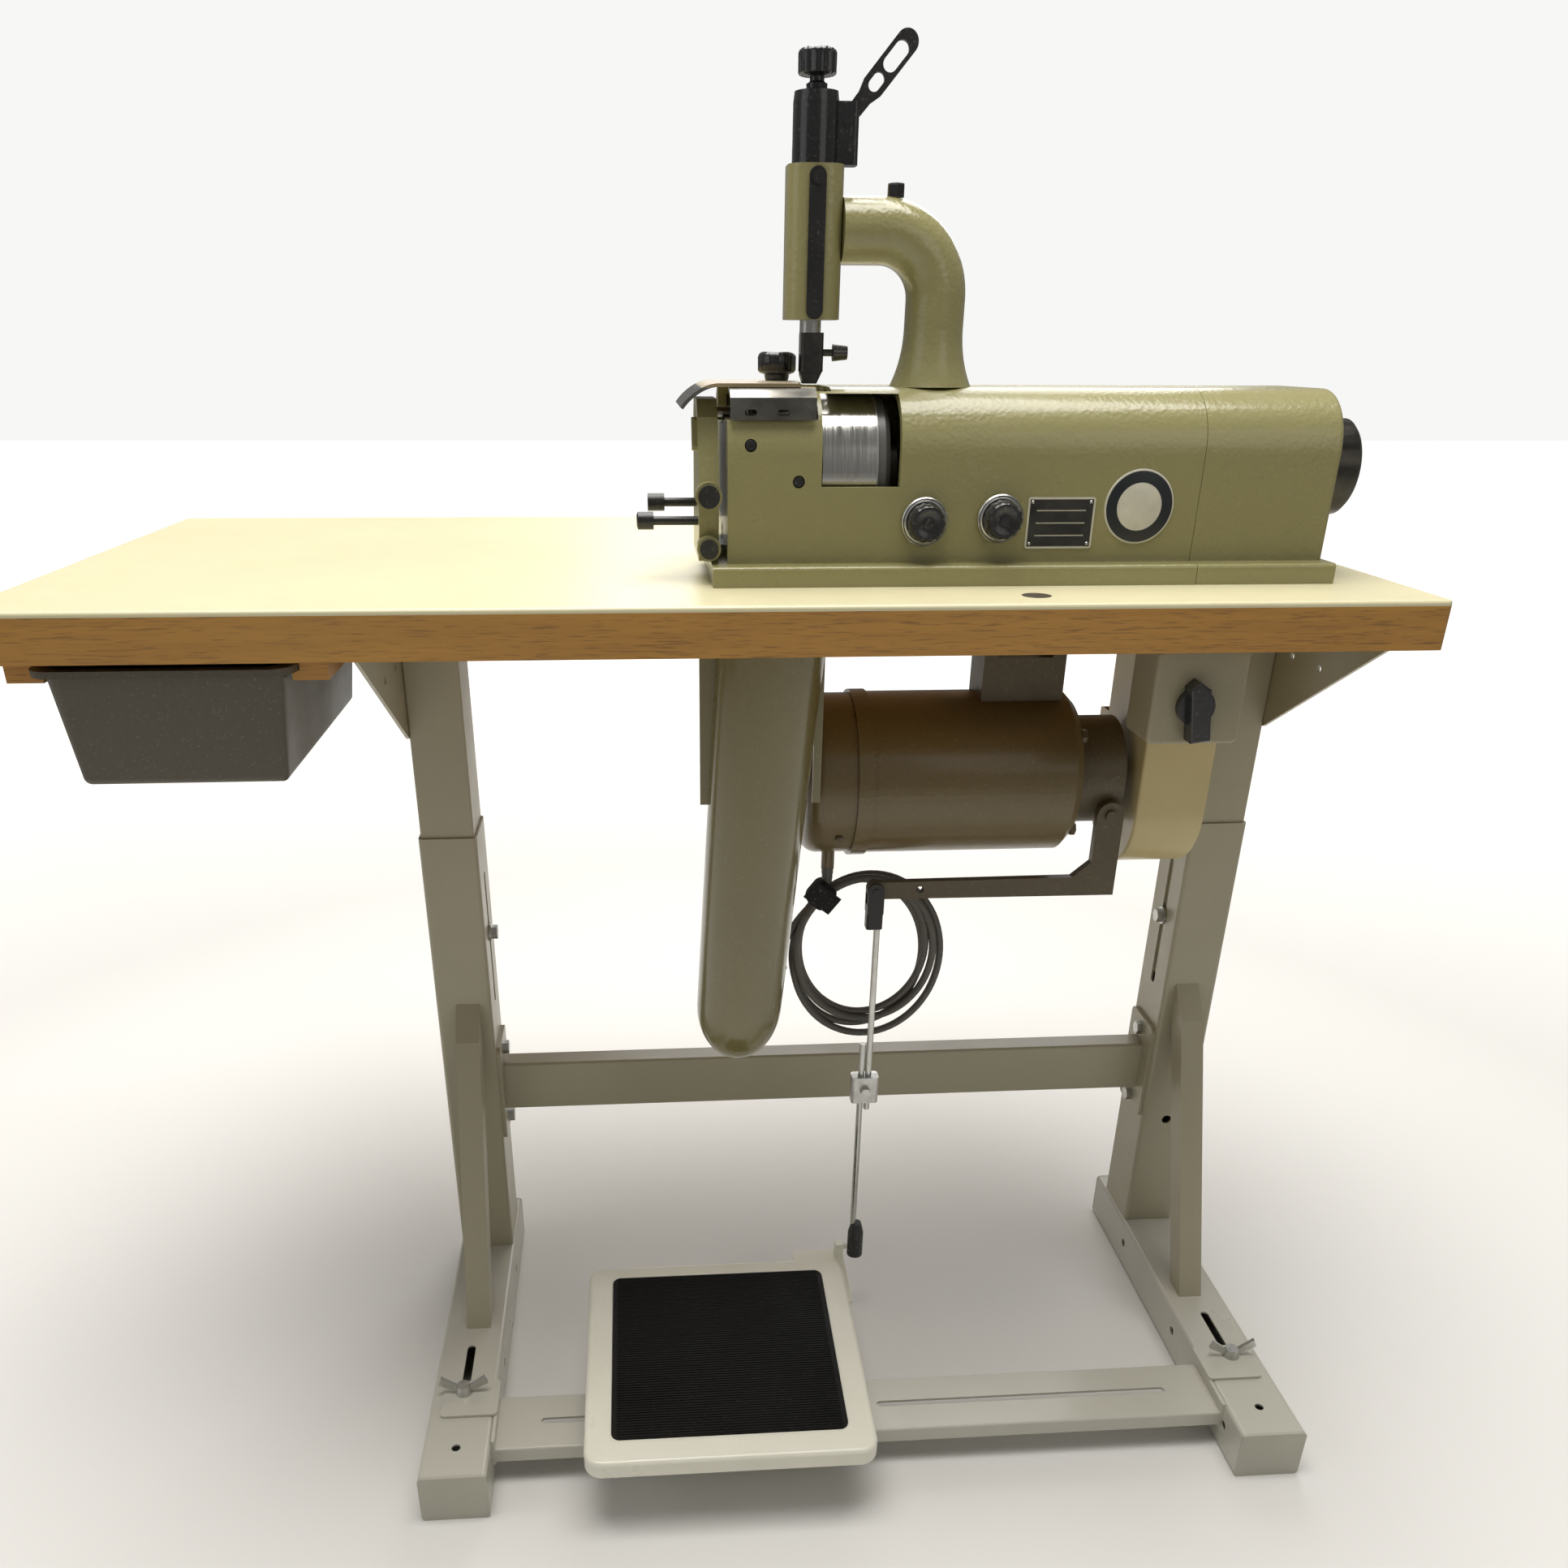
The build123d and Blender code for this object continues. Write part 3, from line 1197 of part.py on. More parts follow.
with BuildPart() as presser_arm:
    with BuildSketch(level(top_z)):
        with Locations((arm_base_x, presser_y)):
            Ellipse(arm_half + 9, arm_half_y + 9)
    with BuildSketch(level(top_z + 16)):
        with Locations((arm_base_x, presser_y)):
            Ellipse(arm_half + 3, arm_half_y + 3)
    with BuildSketch(level(flare_top)):
        with Locations((arm_base_x, presser_y)):
            Ellipse(arm_half, arm_half_y)
    loft()
    with BuildLine(Plane.XZ.offset(-presser_y)) as arm_path:
        Line((arm_base_x, flare_top), (arm_base_x, arm_axis_z - arm_bend_radius))
        JernArc((arm_base_x, arm_axis_z - arm_bend_radius), (0, 1), arm_bend_radius, 90)
        Line((arm_base_x - arm_bend_radius, arm_axis_z), (housing_right, arm_axis_z))
    with BuildSketch(level(flare_top)):
        with Locations((arm_base_x, presser_y)):
            Ellipse(arm_half, arm_half_y)
    sweep(path=arm_path.wires()[0])
    with BuildSketch(level(arm_axis_z + arm_half - 1)):
        with Locations((131, presser_y)):
            RegularPolygon(6, 4)
    extrude(amount=9)
    with BuildSketch(level(housing_bottom)):
        with Locations((presser_x, presser_y)):
            RectangleRounded(housing_width, housing_width, 13)
            Circle(bar_radius + shaft_gap, mode=Mode.SUBTRACT)
    extrude(amount=housing_top - housing_bottom)
presser_arm.part.label = "presser_arm"
export_step(presser_arm.part, "parts/presser_arm.step")

cap_radius = 16.5
cap_top = top_z + 187.0
lifter_x = presser_x + 20.7
lifter_z = top_z + 169.0
lifter_thickness = 4.0
lifter_pin_radius = 2.5
cap_bore_top = cap_top - 6.0
stem_radius = 5.0
slot_half = lifter_thickness / 2 + 0.4

with BuildPart() as presser_cap:
    with BuildSketch(level(housing_top)):
        with Locations((presser_x, presser_y)):
            Circle(cap_radius)
        with Locations((presser_x + 18, presser_y)):
            RectangleRounded(24, 15, 3)
    extrude(amount=cap_top - housing_top - 6)
    with BuildSketch(level(cap_top - 6)):
        with Locations((presser_x, presser_y)):
            Circle(cap_radius)
    extrude(amount=6, taper=8)
    with BuildSketch(level(housing_top)):
        with Locations((presser_x, presser_y)):
            Circle(bar_radius + 0.5)
    extrude(amount=cap_bore_top - housing_top, mode=Mode.SUBTRACT)
    with BuildSketch(level(cap_bore_top - 1)):
        with Locations((presser_x, presser_y)):
            Circle(stem_radius + shaft_gap)
    extrude(amount=20, mode=Mode.SUBTRACT)
    with BuildSketch(level(lifter_z - 12)):
        with Locations((presser_x + 21, presser_y)):
            Rectangle(20, 2 * slot_half)
    extrude(amount=60, mode=Mode.SUBTRACT)
    with BuildSketch(front_plane(presser_y + 8.5)):
        with Locations((lifter_x, lifter_z)):
            Circle(lifter_pin_radius)
    extrude(amount=17)
presser_cap.part.label = "presser_cap"
export_step(presser_cap.part, "parts/presser_cap.step")

lifter_tip = (presser_x + 62.0, top_z + 216.5)
lifter_angle = degrees(atan2(lifter_tip[1] - lifter_z, lifter_tip[0] - lifter_x))
lifter_length = ((lifter_tip[0] - lifter_x) ** 2 + (lifter_tip[1] - lifter_z) ** 2) ** 0.5
lifter_plane = Plane(origin=(lifter_x, presser_y + lifter_thickness / 2, lifter_z),
                     x_dir=(cos(radians(lifter_angle)), 0, sin(radians(lifter_angle))),
                     z_dir=(0, -1, 0))
with BuildPart() as lifter_lever:
    with BuildSketch(lifter_plane):
        Circle(6.5)
        with BuildLine():
            Polyline((0, -5), (20, -5.5), (28, -8), (lifter_length, -8), (lifter_length, 8),
                     (28, 8), (20, 5.5), (0, 5), close=True)
        make_face()
        with Locations((lifter_length, 0)):
            Circle(8)
        with Locations((32, 0)):
            SlotOverall(13, 8, mode=Mode.SUBTRACT)
        with Locations((52, 0)):
            SlotOverall(22, 10, mode=Mode.SUBTRACT)
        Circle(lifter_pin_radius + shaft_gap, mode=Mode.SUBTRACT)
    extrude(amount=lifter_thickness)
lifter_lever.part.label = "lifter_lever"
export_step(lifter_lever.part, "parts/lifter_lever.step")

with BuildPart() as pressure_knob:
    with BuildSketch(level(cap_bore_top - 6)):
        with Locations((presser_x, presser_y)):
            Circle(stem_radius)
    extrude(amount=cap_top + 9 - cap_bore_top + 6)
    with BuildSketch(level(cap_top + 9)):
        with Locations((presser_x, presser_y)):
            Circle(13.7)
    extrude(amount=16)
    chamfer(pressure_knob.faces().sort_by(Axis.Z)[-1].edges(), length=1.5)
pressure_knob.part.label = "pressure_knob"
export_step(pressure_knob.part, "parts/pressure_knob.step")

presser_bar_top = top_z + 160.0
presser_bar_bottom = top_z + 14.0
with BuildPart() as presser_bar:
    with BuildSketch(level(presser_bar_bottom)):
        with Locations((presser_x, presser_y)):
            Circle(bar_radius)
    extrude(amount=presser_bar_top - presser_bar_bottom)
presser_bar.part.label = "presser_bar"
export_step(presser_bar.part, "parts/presser_bar.step")

spring_bottom = presser_bar_top
spring_top = cap_bore_top - 6.0
spring_radius = 5.5
wire_radius = 0.8
spring_turns = 3
with BuildPart() as pressure_spring:
    spring_pitch = (spring_top - spring_bottom - 2 * wire_radius - 0.4) / spring_turns
    with BuildLine() as spring_line:
        Helix(spring_pitch, spring_pitch * spring_turns, spring_radius,
              center=(presser_x, presser_y, spring_bottom + wire_radius + 0.2))
    with BuildSketch(Plane(origin=spring_line.line @ 0, z_dir=spring_line.line % 0)):
        Circle(wire_radius)
    sweep(path=spring_line.wires()[0])
pressure_spring.part.label = "pressure_spring"
export_step(pressure_spring.part, "parts/pressure_spring.step")

foot_bottom = top_z + 1.8
presser_travel = 6.1
foot_clamp_height = housing_bottom - (top_z + 10) - presser_travel - 2.4
with BuildPart() as presser_foot:
    with BuildSketch(level(top_z + 10)):
        with Locations((presser_x + 1, presser_y)):
            RectangleRounded(17, 20, 3)
        with Locations((presser_x, presser_y)):
            Circle(bar_radius, mode=Mode.SUBTRACT)
    extrude(amount=foot_clamp_height)
    with BuildSketch(front_plane(presser_y + 7)):
        with BuildLine():
            Polyline((presser_x - 7, top_z + 14), (presser_x + 9, top_z + 14), (presser_x + 9, top_z + 10),
                     (presser_x + 5, foot_bottom), (presser_x - 5, foot_bottom), (presser_x - 7, top_z + 8),
                     close=True)
        make_face()
    extrude(amount=14)
    with BuildSketch(side_plane(presser_x + 9.5)):
        with Locations((presser_y, top_z + 23)):
            Circle(2.5)
    extrude(amount=8)
    with BuildSketch(side_plane(presser_x + 17.5)):
        with Locations((presser_y, top_z + 23)):
            Circle(6)
    extrude(amount=11, taper=6)
presser_foot.part.label = "presser_foot"
export_step(presser_foot.part, "parts/presser_foot.step")

strap_front = presser_y - housing_width / 2
with BuildPart() as front_strap:
    with BuildSketch(front_plane(strap_front)):
        with Locations((presser_x, top_z + 93)):
            SlotOverall(96, 12, rotation=90)
    extrude(amount=2.5)
    with BuildSketch(front_plane(strap_front - 2.5)):
        with Locations((presser_x, top_z + 134)):
            Circle(4.5)
    extrude(amount=3)
front_strap.part.label = "front_strap"
export_step(front_strap.part, "parts/front_strap.step")

# ---------------------------------------------------------------- head: work plate and left end
plate_top = top_z + 0.6
plate_thickness = 2.5
plate_right = step_x - 1.0
throat_front = body_front + 1.0
gauge_x = 49.0
gauge_y = table_y - 84.0
gauge_radius = 4.0

with BuildPart() as work_plate:
    with BuildSketch(front_plane(body_rear - 41)):
        with BuildLine():
            Polyline((plate_right - 12, plate_top), (0, plate_top))
            Spline((0, plate_top), (-16, plate_top - 5), (-27, plate_top - 15),
                   tangents=((-1, 0), (-0.6, -0.8)))
            Line((-27, plate_top - 15), (-29, plate_top - 13.6))
            Spline((-29, plate_top - 13.6), (-17, plate_top - 2.6), (0, plate_top + plate_thickness),
                   tangents=((0.6, 0.8), (1, 0)))
            Polyline((0, plate_top + plate_thickness), (plate_right - 12, plate_top + plate_thickness),
                     (plate_right - 12, plate_top))
        make_face()
    extrude(amount=body_rear - 41 - body_front - 10)
    with BuildSketch(level(plate_top - 30)):
        with Locations((gauge_x, gauge_y)):
            Circle(gauge_radius + shaft_gap)
    extrude(amount=60, mode=Mode.SUBTRACT)
    with BuildSketch(side_plane(body_left + 2)):
        with BuildLine():
            Polyline((throat_front, deck + step_height), (throat_front, deck + step_height + 15),
                     (throat_front + 10, plate_top), (throat_front + 26, plate_top),
                     (throat_front + 26, plate_top - 3), (throat_front + 12, plate_top - 3),
                     (throat_front + 3.5, deck + step_height + 13), (throat_front + 3.5, deck + step_height),
                     close=True)
        make_face()
    extrude(amount=plate_right - body_left - 3)
    with BuildSketch(front_plane(throat_front)):
        with Locations((22, deck + step_height + 5), (46, deck + step_height + 5)):
            SlotOverall(9, 4)
    extrude(amount=-4, mode=Mode.SUBTRACT)
work_plate.part.label = "work_plate"
export_step(work_plate.part, "parts/work_plate.step")

with BuildPart() as gauge_knob:
    knob_base = plate_top + plate_thickness + slide_gap
    with BuildSketch(level(plate_top - 3)):
        with Locations((gauge_x, gauge_y)):
            Circle(gauge_radius)
    extrude(amount=plate_thickness + slide_gap + 3)
    with BuildSketch(level(knob_base)):
        with Locations((gauge_x, gauge_y)):
            Circle(9)
    extrude(amount=8)
    with BuildSketch(level(knob_base + 8)):
        with Locations((gauge_x, gauge_y)):
            Circle(15)
    extrude(amount=12)
    chamfer(gauge_knob.faces().sort_by(Axis.Z)[-1].edges(), length=2)
gauge_knob.part.label = "gauge_knob"
export_step(gauge_knob.part, "parts/gauge_knob.step")

feed_left = -16.0
feed_right = -1.0
feed_top = deck + 128.0
clamp_places = ((-9.0, deck + 63.0, 10.0), (-9.0, deck + 26.0, 9.0))
with BuildPart() as feed_bracket:
    with BuildSketch(side_plane(feed_left)):
        with BuildLine():
            Polyline((body_front + 16, deck + base_thickness), (body_front + 8, deck + 40),
                     (body_front + 8, deck + 70), (body_front + 22, feed_top - 12),
                     (body_front + 34, feed_top), (spindle_y + 22, feed_top),
                     (spindle_y + 30, feed_top - 12), (spindle_y + 40, deck + base_thickness), close=True)
        make_face()
        with Locations((spindle_y, roller_z)):
            Circle(roller_shaft_radius + shaft_gap, mode=Mode.SUBTRACT)
    extrude(amount=feed_right - feed_left)
    for x, z, radius in clamp_places:
        with BuildSketch(front_plane(body_front + 12)):
            with Locations((x, z)):
                Circle(radius)
        extrude(amount=14)
    with BuildSketch(level(deck + base_thickness)):
        with Locations(((feed_left + body_left) / 2, spindle_y + 10)):
            Rectangle(body_left - feed_left, 60)
    extrude(amount=8)
    with BuildSketch(side_plane(feed_left)):
        with Locations((body_front + 34, deck + 104)):
            SlotOverall(24, 7, rotation=70)
    extrude(amount=-4)
feed_bracket.part.label = "feed_bracket"
export_step(feed_bracket.part, "parts/feed_bracket.step")

thumb_places = ((body_front + 28, deck + 43, 46.0), (body_front + 52, deck + 54, 37.0))
with BuildPart() as feed_screws:
    for x, z, radius in clamp_places:
        with BuildSketch(front_plane(body_front - 2)):
            with Locations((x, z)):
                Circle(radius - 2)
        extrude(amount=4)
    for y, z, reach in thumb_places:
        with BuildSketch(side_plane(feed_left)):
            with Locations((y, z)):
                Circle(3.3)
        extrude(amount=-(reach - 12))
        with BuildSketch(side_plane(feed_left - reach + 12)):
            with Locations((y, z)):
                Circle(6.5)
        extrude(amount=-13)
        chamfer(feed_screws.faces().filter_by(Axis.X).sort_by(Axis.X)[0].edges(), length=1.2)
feed_screws.part.label = "feed_screws"
export_step(feed_screws.part, "parts/feed_screws.step")

# ---------------------------------------------------------------- motor cord
cord_radius = 3.5
coil_x = 144.0
coil_z = gland_bottom - 96.0
coil_half_width = 81.0
coil_half_height = 96.0
coil_half_thickness = 11.0
coil_hole = (48.0, 58.0)        # half width and half height of the opening inside the turns
coil_hole_shift = (-10.0, 17.0)     # the turns bunch at the strap and fan out away from it

with BuildPart() as cord_coil:
    with BuildSketch(front_plane(gland_y + coil_half_thickness)):
        with Locations((coil_x, coil_z)):
            Ellipse(coil_half_width, coil_half_height)
        with Locations((coil_x + coil_hole_shift[0], coil_z + coil_hole_shift[1])):
            Ellipse(*coil_hole, mode=Mode.SUBTRACT)
    extrude(amount=2 * coil_half_thickness)
cord_coil.part.label = "cord_coil"
export_step(cord_coil.part, "parts/cord_coil.step")

lead_route = ((gland_x, gland_y, gland_bottom), (gland_x, gland_y, gland_bottom - 16.0))
with BuildPart() as cord_lead:
    with BuildSketch(level(lead_route[1][2])):
        with Locations((gland_x, gland_y)):
            Circle(cord_radius)
    extrude(amount=gland_bottom - lead_route[1][2])
cord_lead.part.label = "cord_lead"
export_step(cord_lead.part, "parts/cord_lead.step")

tie_x = 98.0
tie_z = gland_bottom - 27.0
with BuildPart() as cord_tie:
    tie_plane = Plane(origin=(tie_x, gland_y + coil_half_thickness + 3, tie_z),
                      x_dir=(cos(radians(52)), 0, sin(radians(52))), z_dir=(0, -1, 0))
    with BuildSketch(tie_plane):
        RectangleRounded(26, 28, 4)
    extrude(amount=2 * coil_half_thickness + 6)
cord_tie.part.label = "cord_tie"
export_step(cord_tie.part, "parts/cord_tie.step")

plug_lean = 25.0                # degrees from straight down, towards the left
plug_plane_cord = Plane(origin=(coil_x - coil_half_width + 4, gland_y, coil_z + 22),
                        x_dir=(0, 1, 0), z_dir=(-sin(radians(plug_lean)), 0, -cos(radians(plug_lean))))
sleeve_length = 22.0
plug_length = 38.0
pin_length = 18.0
with BuildPart() as cord_plug:
    with BuildSketch(plug_plane_cord.offset(sleeve_length)):
        Circle(6)
    extrude(amount=-sleeve_length, taper=5)
    with BuildSketch(plug_plane_cord.offset(sleeve_length)):
        RectangleRounded(34, 22, 8)
    extrude(amount=plug_length)
    with BuildSketch(plug_plane_cord.offset(sleeve_length + plug_length)):
        with Locations((-9.5, 0), (9.5, 0)):
            Circle(2.4)
    extrude(amount=pin_length)
cord_plug.part.label = "cord_plug"
export_step(cord_plug.part, "parts/cord_plug.step")
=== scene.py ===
from math import atan2, cos, pi, radians, sin

import bmesh
import bpy
from mathutils import Matrix, Vector


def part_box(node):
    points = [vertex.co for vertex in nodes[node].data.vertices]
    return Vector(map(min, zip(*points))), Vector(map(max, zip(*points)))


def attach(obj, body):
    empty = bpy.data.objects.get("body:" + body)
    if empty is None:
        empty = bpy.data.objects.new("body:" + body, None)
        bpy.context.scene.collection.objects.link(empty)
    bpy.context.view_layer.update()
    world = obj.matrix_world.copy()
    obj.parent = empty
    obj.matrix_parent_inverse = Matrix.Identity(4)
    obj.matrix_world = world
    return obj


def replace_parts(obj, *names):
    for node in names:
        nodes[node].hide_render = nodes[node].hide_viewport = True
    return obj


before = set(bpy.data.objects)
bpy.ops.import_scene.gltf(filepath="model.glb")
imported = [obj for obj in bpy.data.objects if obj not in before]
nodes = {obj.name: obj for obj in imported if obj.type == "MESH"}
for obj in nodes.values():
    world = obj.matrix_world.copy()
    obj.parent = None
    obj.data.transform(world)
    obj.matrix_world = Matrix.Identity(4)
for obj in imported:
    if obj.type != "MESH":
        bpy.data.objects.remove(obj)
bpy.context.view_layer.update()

# ---------------------------------------------------------------- camera
# The camera stands 0.86 m in front of the table's edge and 0.16 m above its top. It is turned a little
# to the right and tilted down, and its lens is shifted up, so that the whole machine is in view.
turn = 0.073691
dip = 0.46177
roll = -0.00504
level_ahead = Vector((sin(turn), cos(turn), 0.0))
level_right = Vector((cos(turn), -sin(turn), 0.0))
down = Vector((0.0, 0.0, -1.0))
ahead = cos(dip) * level_ahead + sin(dip) * down
below = cos(dip) * down - sin(dip) * level_ahead
right = cos(roll) * level_right + sin(roll) * below
below = cos(roll) * below - sin(roll) * level_right
camera_data = bpy.data.cameras.new("camera")
camera_data.sensor_width = 36.0
camera_data.lens = 29.425
camera_data.shift_x = 0.03196
camera_data.shift_y = 0.12684
camera_data.clip_end = 50.0
camera = bpy.data.objects.new("camera", camera_data)
bpy.context.scene.collection.objects.link(camera)
camera_place = Matrix.Identity(4)
for column, axis in enumerate((right, -below, -ahead, Vector((-0.06317, -1.12391, 0.93385)))):
    for row in range(3):
        camera_place[row][column] = axis[row]
camera.matrix_world = camera_place
bpy.context.scene.camera = camera

# ---------------------------------------------------------------- motor cord
# Grey-black round rubber cord, 7 mm thick. It drops out of the gland under the motor and is wound into
# four loose turns that fan out below the strap that holds them; its plug hangs beside them.
gland = Vector((0.104, -0.0255, 0.504))
coil_middle = Vector((0.144, -0.0255, 0.408))
strap = coil_middle + Vector((-0.045, 0.0, 0.068))
plug_neck = coil_middle + Vector((-0.077, 0.0, 0.022))
strap_angle = 2.25
steps = 14
# half width, half height and depth of each turn; every turn passes through the strap
turns = ((0.064, 0.068, -0.0060), (0.070, 0.083, -0.0020), (0.075, 0.088, 0.0050), (0.055, 0.065, 0.0020),
         (0.068, 0.080, -0.0030))
cord_points = [gland, gland + Vector((0.0, 0.0, -0.009)), gland + Vector((-0.0008, 0.002, -0.018))]
for first, second in zip(turns, turns[1:]):
    for step in range(steps):
        angle = strap_angle + 2 * pi * step / steps
        share = step / steps
        half_width, half_height, depth = (a + (b - a) * share for a, b in zip(first, second))
        cord_points.append(strap + Vector((half_width * (cos(angle) - cos(strap_angle)), depth,
                                           half_height * (sin(angle) - sin(strap_angle)))))
cord_points += [strap + Vector((-0.004, -0.003, -0.004)), strap + Vector((-0.018, -0.001, -0.021)),
                plug_neck + Vector((0.0046, 0.0, 0.010)), plug_neck]


def material_start(name):
    """An empty Principled material with Object coordinates."""
    material = bpy.data.materials.new(name)
    material.use_nodes = True
    tree = material.node_tree
    shader = tree.nodes["Principled BSDF"]
    place = tree.nodes.new("ShaderNodeTexCoord").outputs["Object"]
    return material, tree, shader, place


def fill(tree, socket, value):
    """Links a socket to another, or gives it a plain value."""
    if isinstance(value, bpy.types.NodeSocket):
        tree.links.new(value, socket)
    else:
        socket.default_value = value


def add_node(tree, kind, **inputs):
    """Adds a shader node and sets its named inputs; a socket given as a value is linked."""
    node = tree.nodes.new(kind)
    for name, value in inputs.items():
        fill(tree, node.inputs[name.replace("_", " ")], value)
    return node


def work_out(tree, operation, *values):
    """A Math node's result."""
    node = tree.nodes.new("ShaderNodeMath")
    node.operation = operation
    for socket, value in zip(node.inputs, values):
        fill(tree, socket, value)
    return node.outputs[0]


def group_start(name, inputs, outputs):
    """A shader node group with named sockets; returns its tree, input node and output node."""
    tree = bpy.data.node_groups.new(name, "ShaderNodeTree")
    for socket_name, kind, value in inputs:
        socket = tree.interface.new_socket(name=socket_name, in_out="INPUT", socket_type=kind)
        if value is not None:
            socket.default_value = value
    for socket_name, kind in outputs:
        tree.interface.new_socket(name=socket_name, in_out="OUTPUT", socket_type=kind)
    return tree, tree.nodes.new("NodeGroupInput"), tree.nodes.new("NodeGroupOutput")


def use_group(tree, group, **inputs):
    """Places a shader node group in a material with its own values."""
    node = tree.nodes.new("ShaderNodeGroup")
    node.node_tree = group
    for name, value in inputs.items():
        fill(tree, node.inputs[name.replace("_", " ")], value)
    return node


def blend_colours(tree, factor, first, second):
    """Mixes two colours by a factor socket and returns the colour socket."""
    mix = tree.nodes.new("ShaderNodeMix")
    mix.data_type = "RGBA"
    for socket, value in ((mix.inputs["Factor"], factor), (mix.inputs[6], first), (mix.inputs[7], second)):
        fill(tree, socket, value)
    return mix.outputs[2]


def spread(tree, value, low, high, to_low, to_high):
    """Maps a value from one range to another, clamped."""
    node = add_node(tree, "ShaderNodeMapRange", Value=value)
    for name, number in (("From Min", low), ("From Max", high), ("To Min", to_low), ("To Max", to_high)):
        node.inputs[name].default_value = number
    return node.outputs["Result"]


def bump(tree, shader, height, strength, distance):
    """Gives a shader's surface fine relief from a height socket."""
    node = add_node(tree, "ShaderNodeBump", Height=height)
    node.inputs["Strength"].default_value = strength
    node.inputs["Distance"].default_value = distance
    tree.links.new(node.outputs["Normal"], shader.inputs["Normal"])


# handling marks: broad soft stains, fine dust and short scratches, for every material that has been used
marks, marks_in, marks_out = group_start(
    "handling_marks",
    [("Vector", "NodeSocketVector", None), ("Stain Size", "NodeSocketFloat", 9.0),
     ("Scratch Size", "NodeSocketFloat", 60.0)],
    [("Stains", "NodeSocketFloat"), ("Dust", "NodeSocketFloat"), ("Scratches", "NodeSocketFloat")])
stain = add_node(marks, "ShaderNodeTexNoise", Vector=marks_in.outputs["Vector"],
                 Scale=marks_in.outputs["Stain Size"], Detail=5.0, Roughness=0.62)
dust = add_node(marks, "ShaderNodeTexNoise", Vector=marks_in.outputs["Vector"], Scale=420.0, Detail=3.0)
slant = add_node(marks, "ShaderNodeMapping", Vector=marks_in.outputs["Vector"],
                 Rotation=(0.3, 0.5, 0.7), Scale=(1.0, 9.0, 9.0))
scratch = add_node(marks, "ShaderNodeTexVoronoi", Vector=slant.outputs["Vector"],
                   Scale=marks_in.outputs["Scratch Size"])
scratch.feature = "DISTANCE_TO_EDGE"
rare = add_node(marks, "ShaderNodeTexNoise", Vector=marks_in.outputs["Vector"], Scale=14.0, Detail=2.0)
thin = spread(marks, scratch.outputs["Distance"], 0.0, 0.018, 1.0, 0.0)
where = spread(marks, rare.outputs["Fac"], 0.58, 0.70, 0.0, 1.0)
marks.links.new(spread(marks, stain.outputs["Fac"], 0.35, 0.68, 0.0, 1.0), marks_out.inputs["Stains"])
marks.links.new(spread(marks, dust.outputs["Fac"], 0.60, 0.74, 0.0, 1.0), marks_out.inputs["Dust"])
marks.links.new(work_out(marks, "MULTIPLY", thin, where), marks_out.inputs["Scratches"])


def rubber(name, colour, worn, roughness, grain, dusty=0.35, shine=0.5):
    """Rubber or soft plastic with a fine grain and a greyed, handled surface."""
    material, tree, shader, place = material_start(name)
    wear = use_group(tree, marks, Vector=place, Stain_Size=14.0, Scratch_Size=90.0)
    tint = blend_colours(tree, wear.outputs["Stains"], colour, worn)
    tint = blend_colours(tree, spread(tree, wear.outputs["Dust"], 0, 1, 0, dusty), tint,
                         (0.30, 0.28, 0.25, 1))
    tree.links.new(tint, shader.inputs["Base Color"])
    shader.inputs["Specular IOR Level"].default_value = shine
    tree.links.new(spread(tree, wear.outputs["Stains"], 0, 1, roughness - 0.06, roughness + 0.10),
                   shader.inputs["Roughness"])
    fine = add_node(tree, "ShaderNodeTexNoise", Vector=place, Scale=grain, Detail=3.0)
    bump(tree, shader, fine.outputs["Fac"], 0.35, 0.0004)
    return material


def finish_node(name, material):
    """Gives a kept CAD node its material."""
    slots = nodes[name].data.materials
    if len(slots):
        for number in range(len(slots)):
            slots[number] = material
    else:
        slots.append(material)


def link_piece(name, mesh_or_curve, material, body):
    """Puts a finished piece in the scene, gives it its material and lets it ride on its body."""
    piece = bpy.data.objects.new(name, mesh_or_curve)
    bpy.context.scene.collection.objects.link(piece)
    if material is not None:
        mesh_or_curve.materials.append(material)
    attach(piece, body)
    return piece


cord_rubber = rubber("cord_rubber", (0.085, 0.080, 0.070, 1), (0.13, 0.12, 0.10, 1), 0.50, 900.0)
cord_curve = bpy.data.curves.new("motor_cord", "CURVE")
cord_curve.dimensions = "3D"
cord_curve.bevel_depth = 0.0035
cord_curve.bevel_resolution = 5
cord_curve.resolution_u = 5
cord_curve.use_fill_caps = True
cord_line = cord_curve.splines.new("NURBS")
cord_line.points.add(len(cord_points) - 1)
for point, place in zip(cord_line.points, cord_points):
    point.co = (*place, 1.0)
cord_line.order_u = 3
cord_line.use_endpoint_u = True
motor_cord = link_piece("motor_cord", cord_curve, cord_rubber, "table_unit")
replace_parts(motor_cord, "cord_lead", "cord_coil")
finish_node("cord_plug", cord_rubber)


def turned(points, steps, place):
    """A turned shape: (radius, height) points spun about Z, then put in its place by a matrix."""
    shape = bmesh.new()
    corners = [shape.verts.new((radius, 0.0, height)) for radius, height in points]
    outline = [shape.edges.new(pair) for pair in zip(corners, corners[1:])]
    bmesh.ops.spin(shape, geom=corners + outline, cent=(0, 0, 0), axis=(0, 0, 1), angle=2 * pi,
                   steps=steps, use_merge=True)
    bmesh.ops.remove_doubles(shape, verts=shape.verts[:], dist=0.000005)
    bmesh.ops.recalc_face_normals(shape, faces=shape.faces[:])
    for face in shape.faces:
        face.smooth = True
    bmesh.ops.transform(shape, matrix=place, verts=shape.verts[:])
    return shape


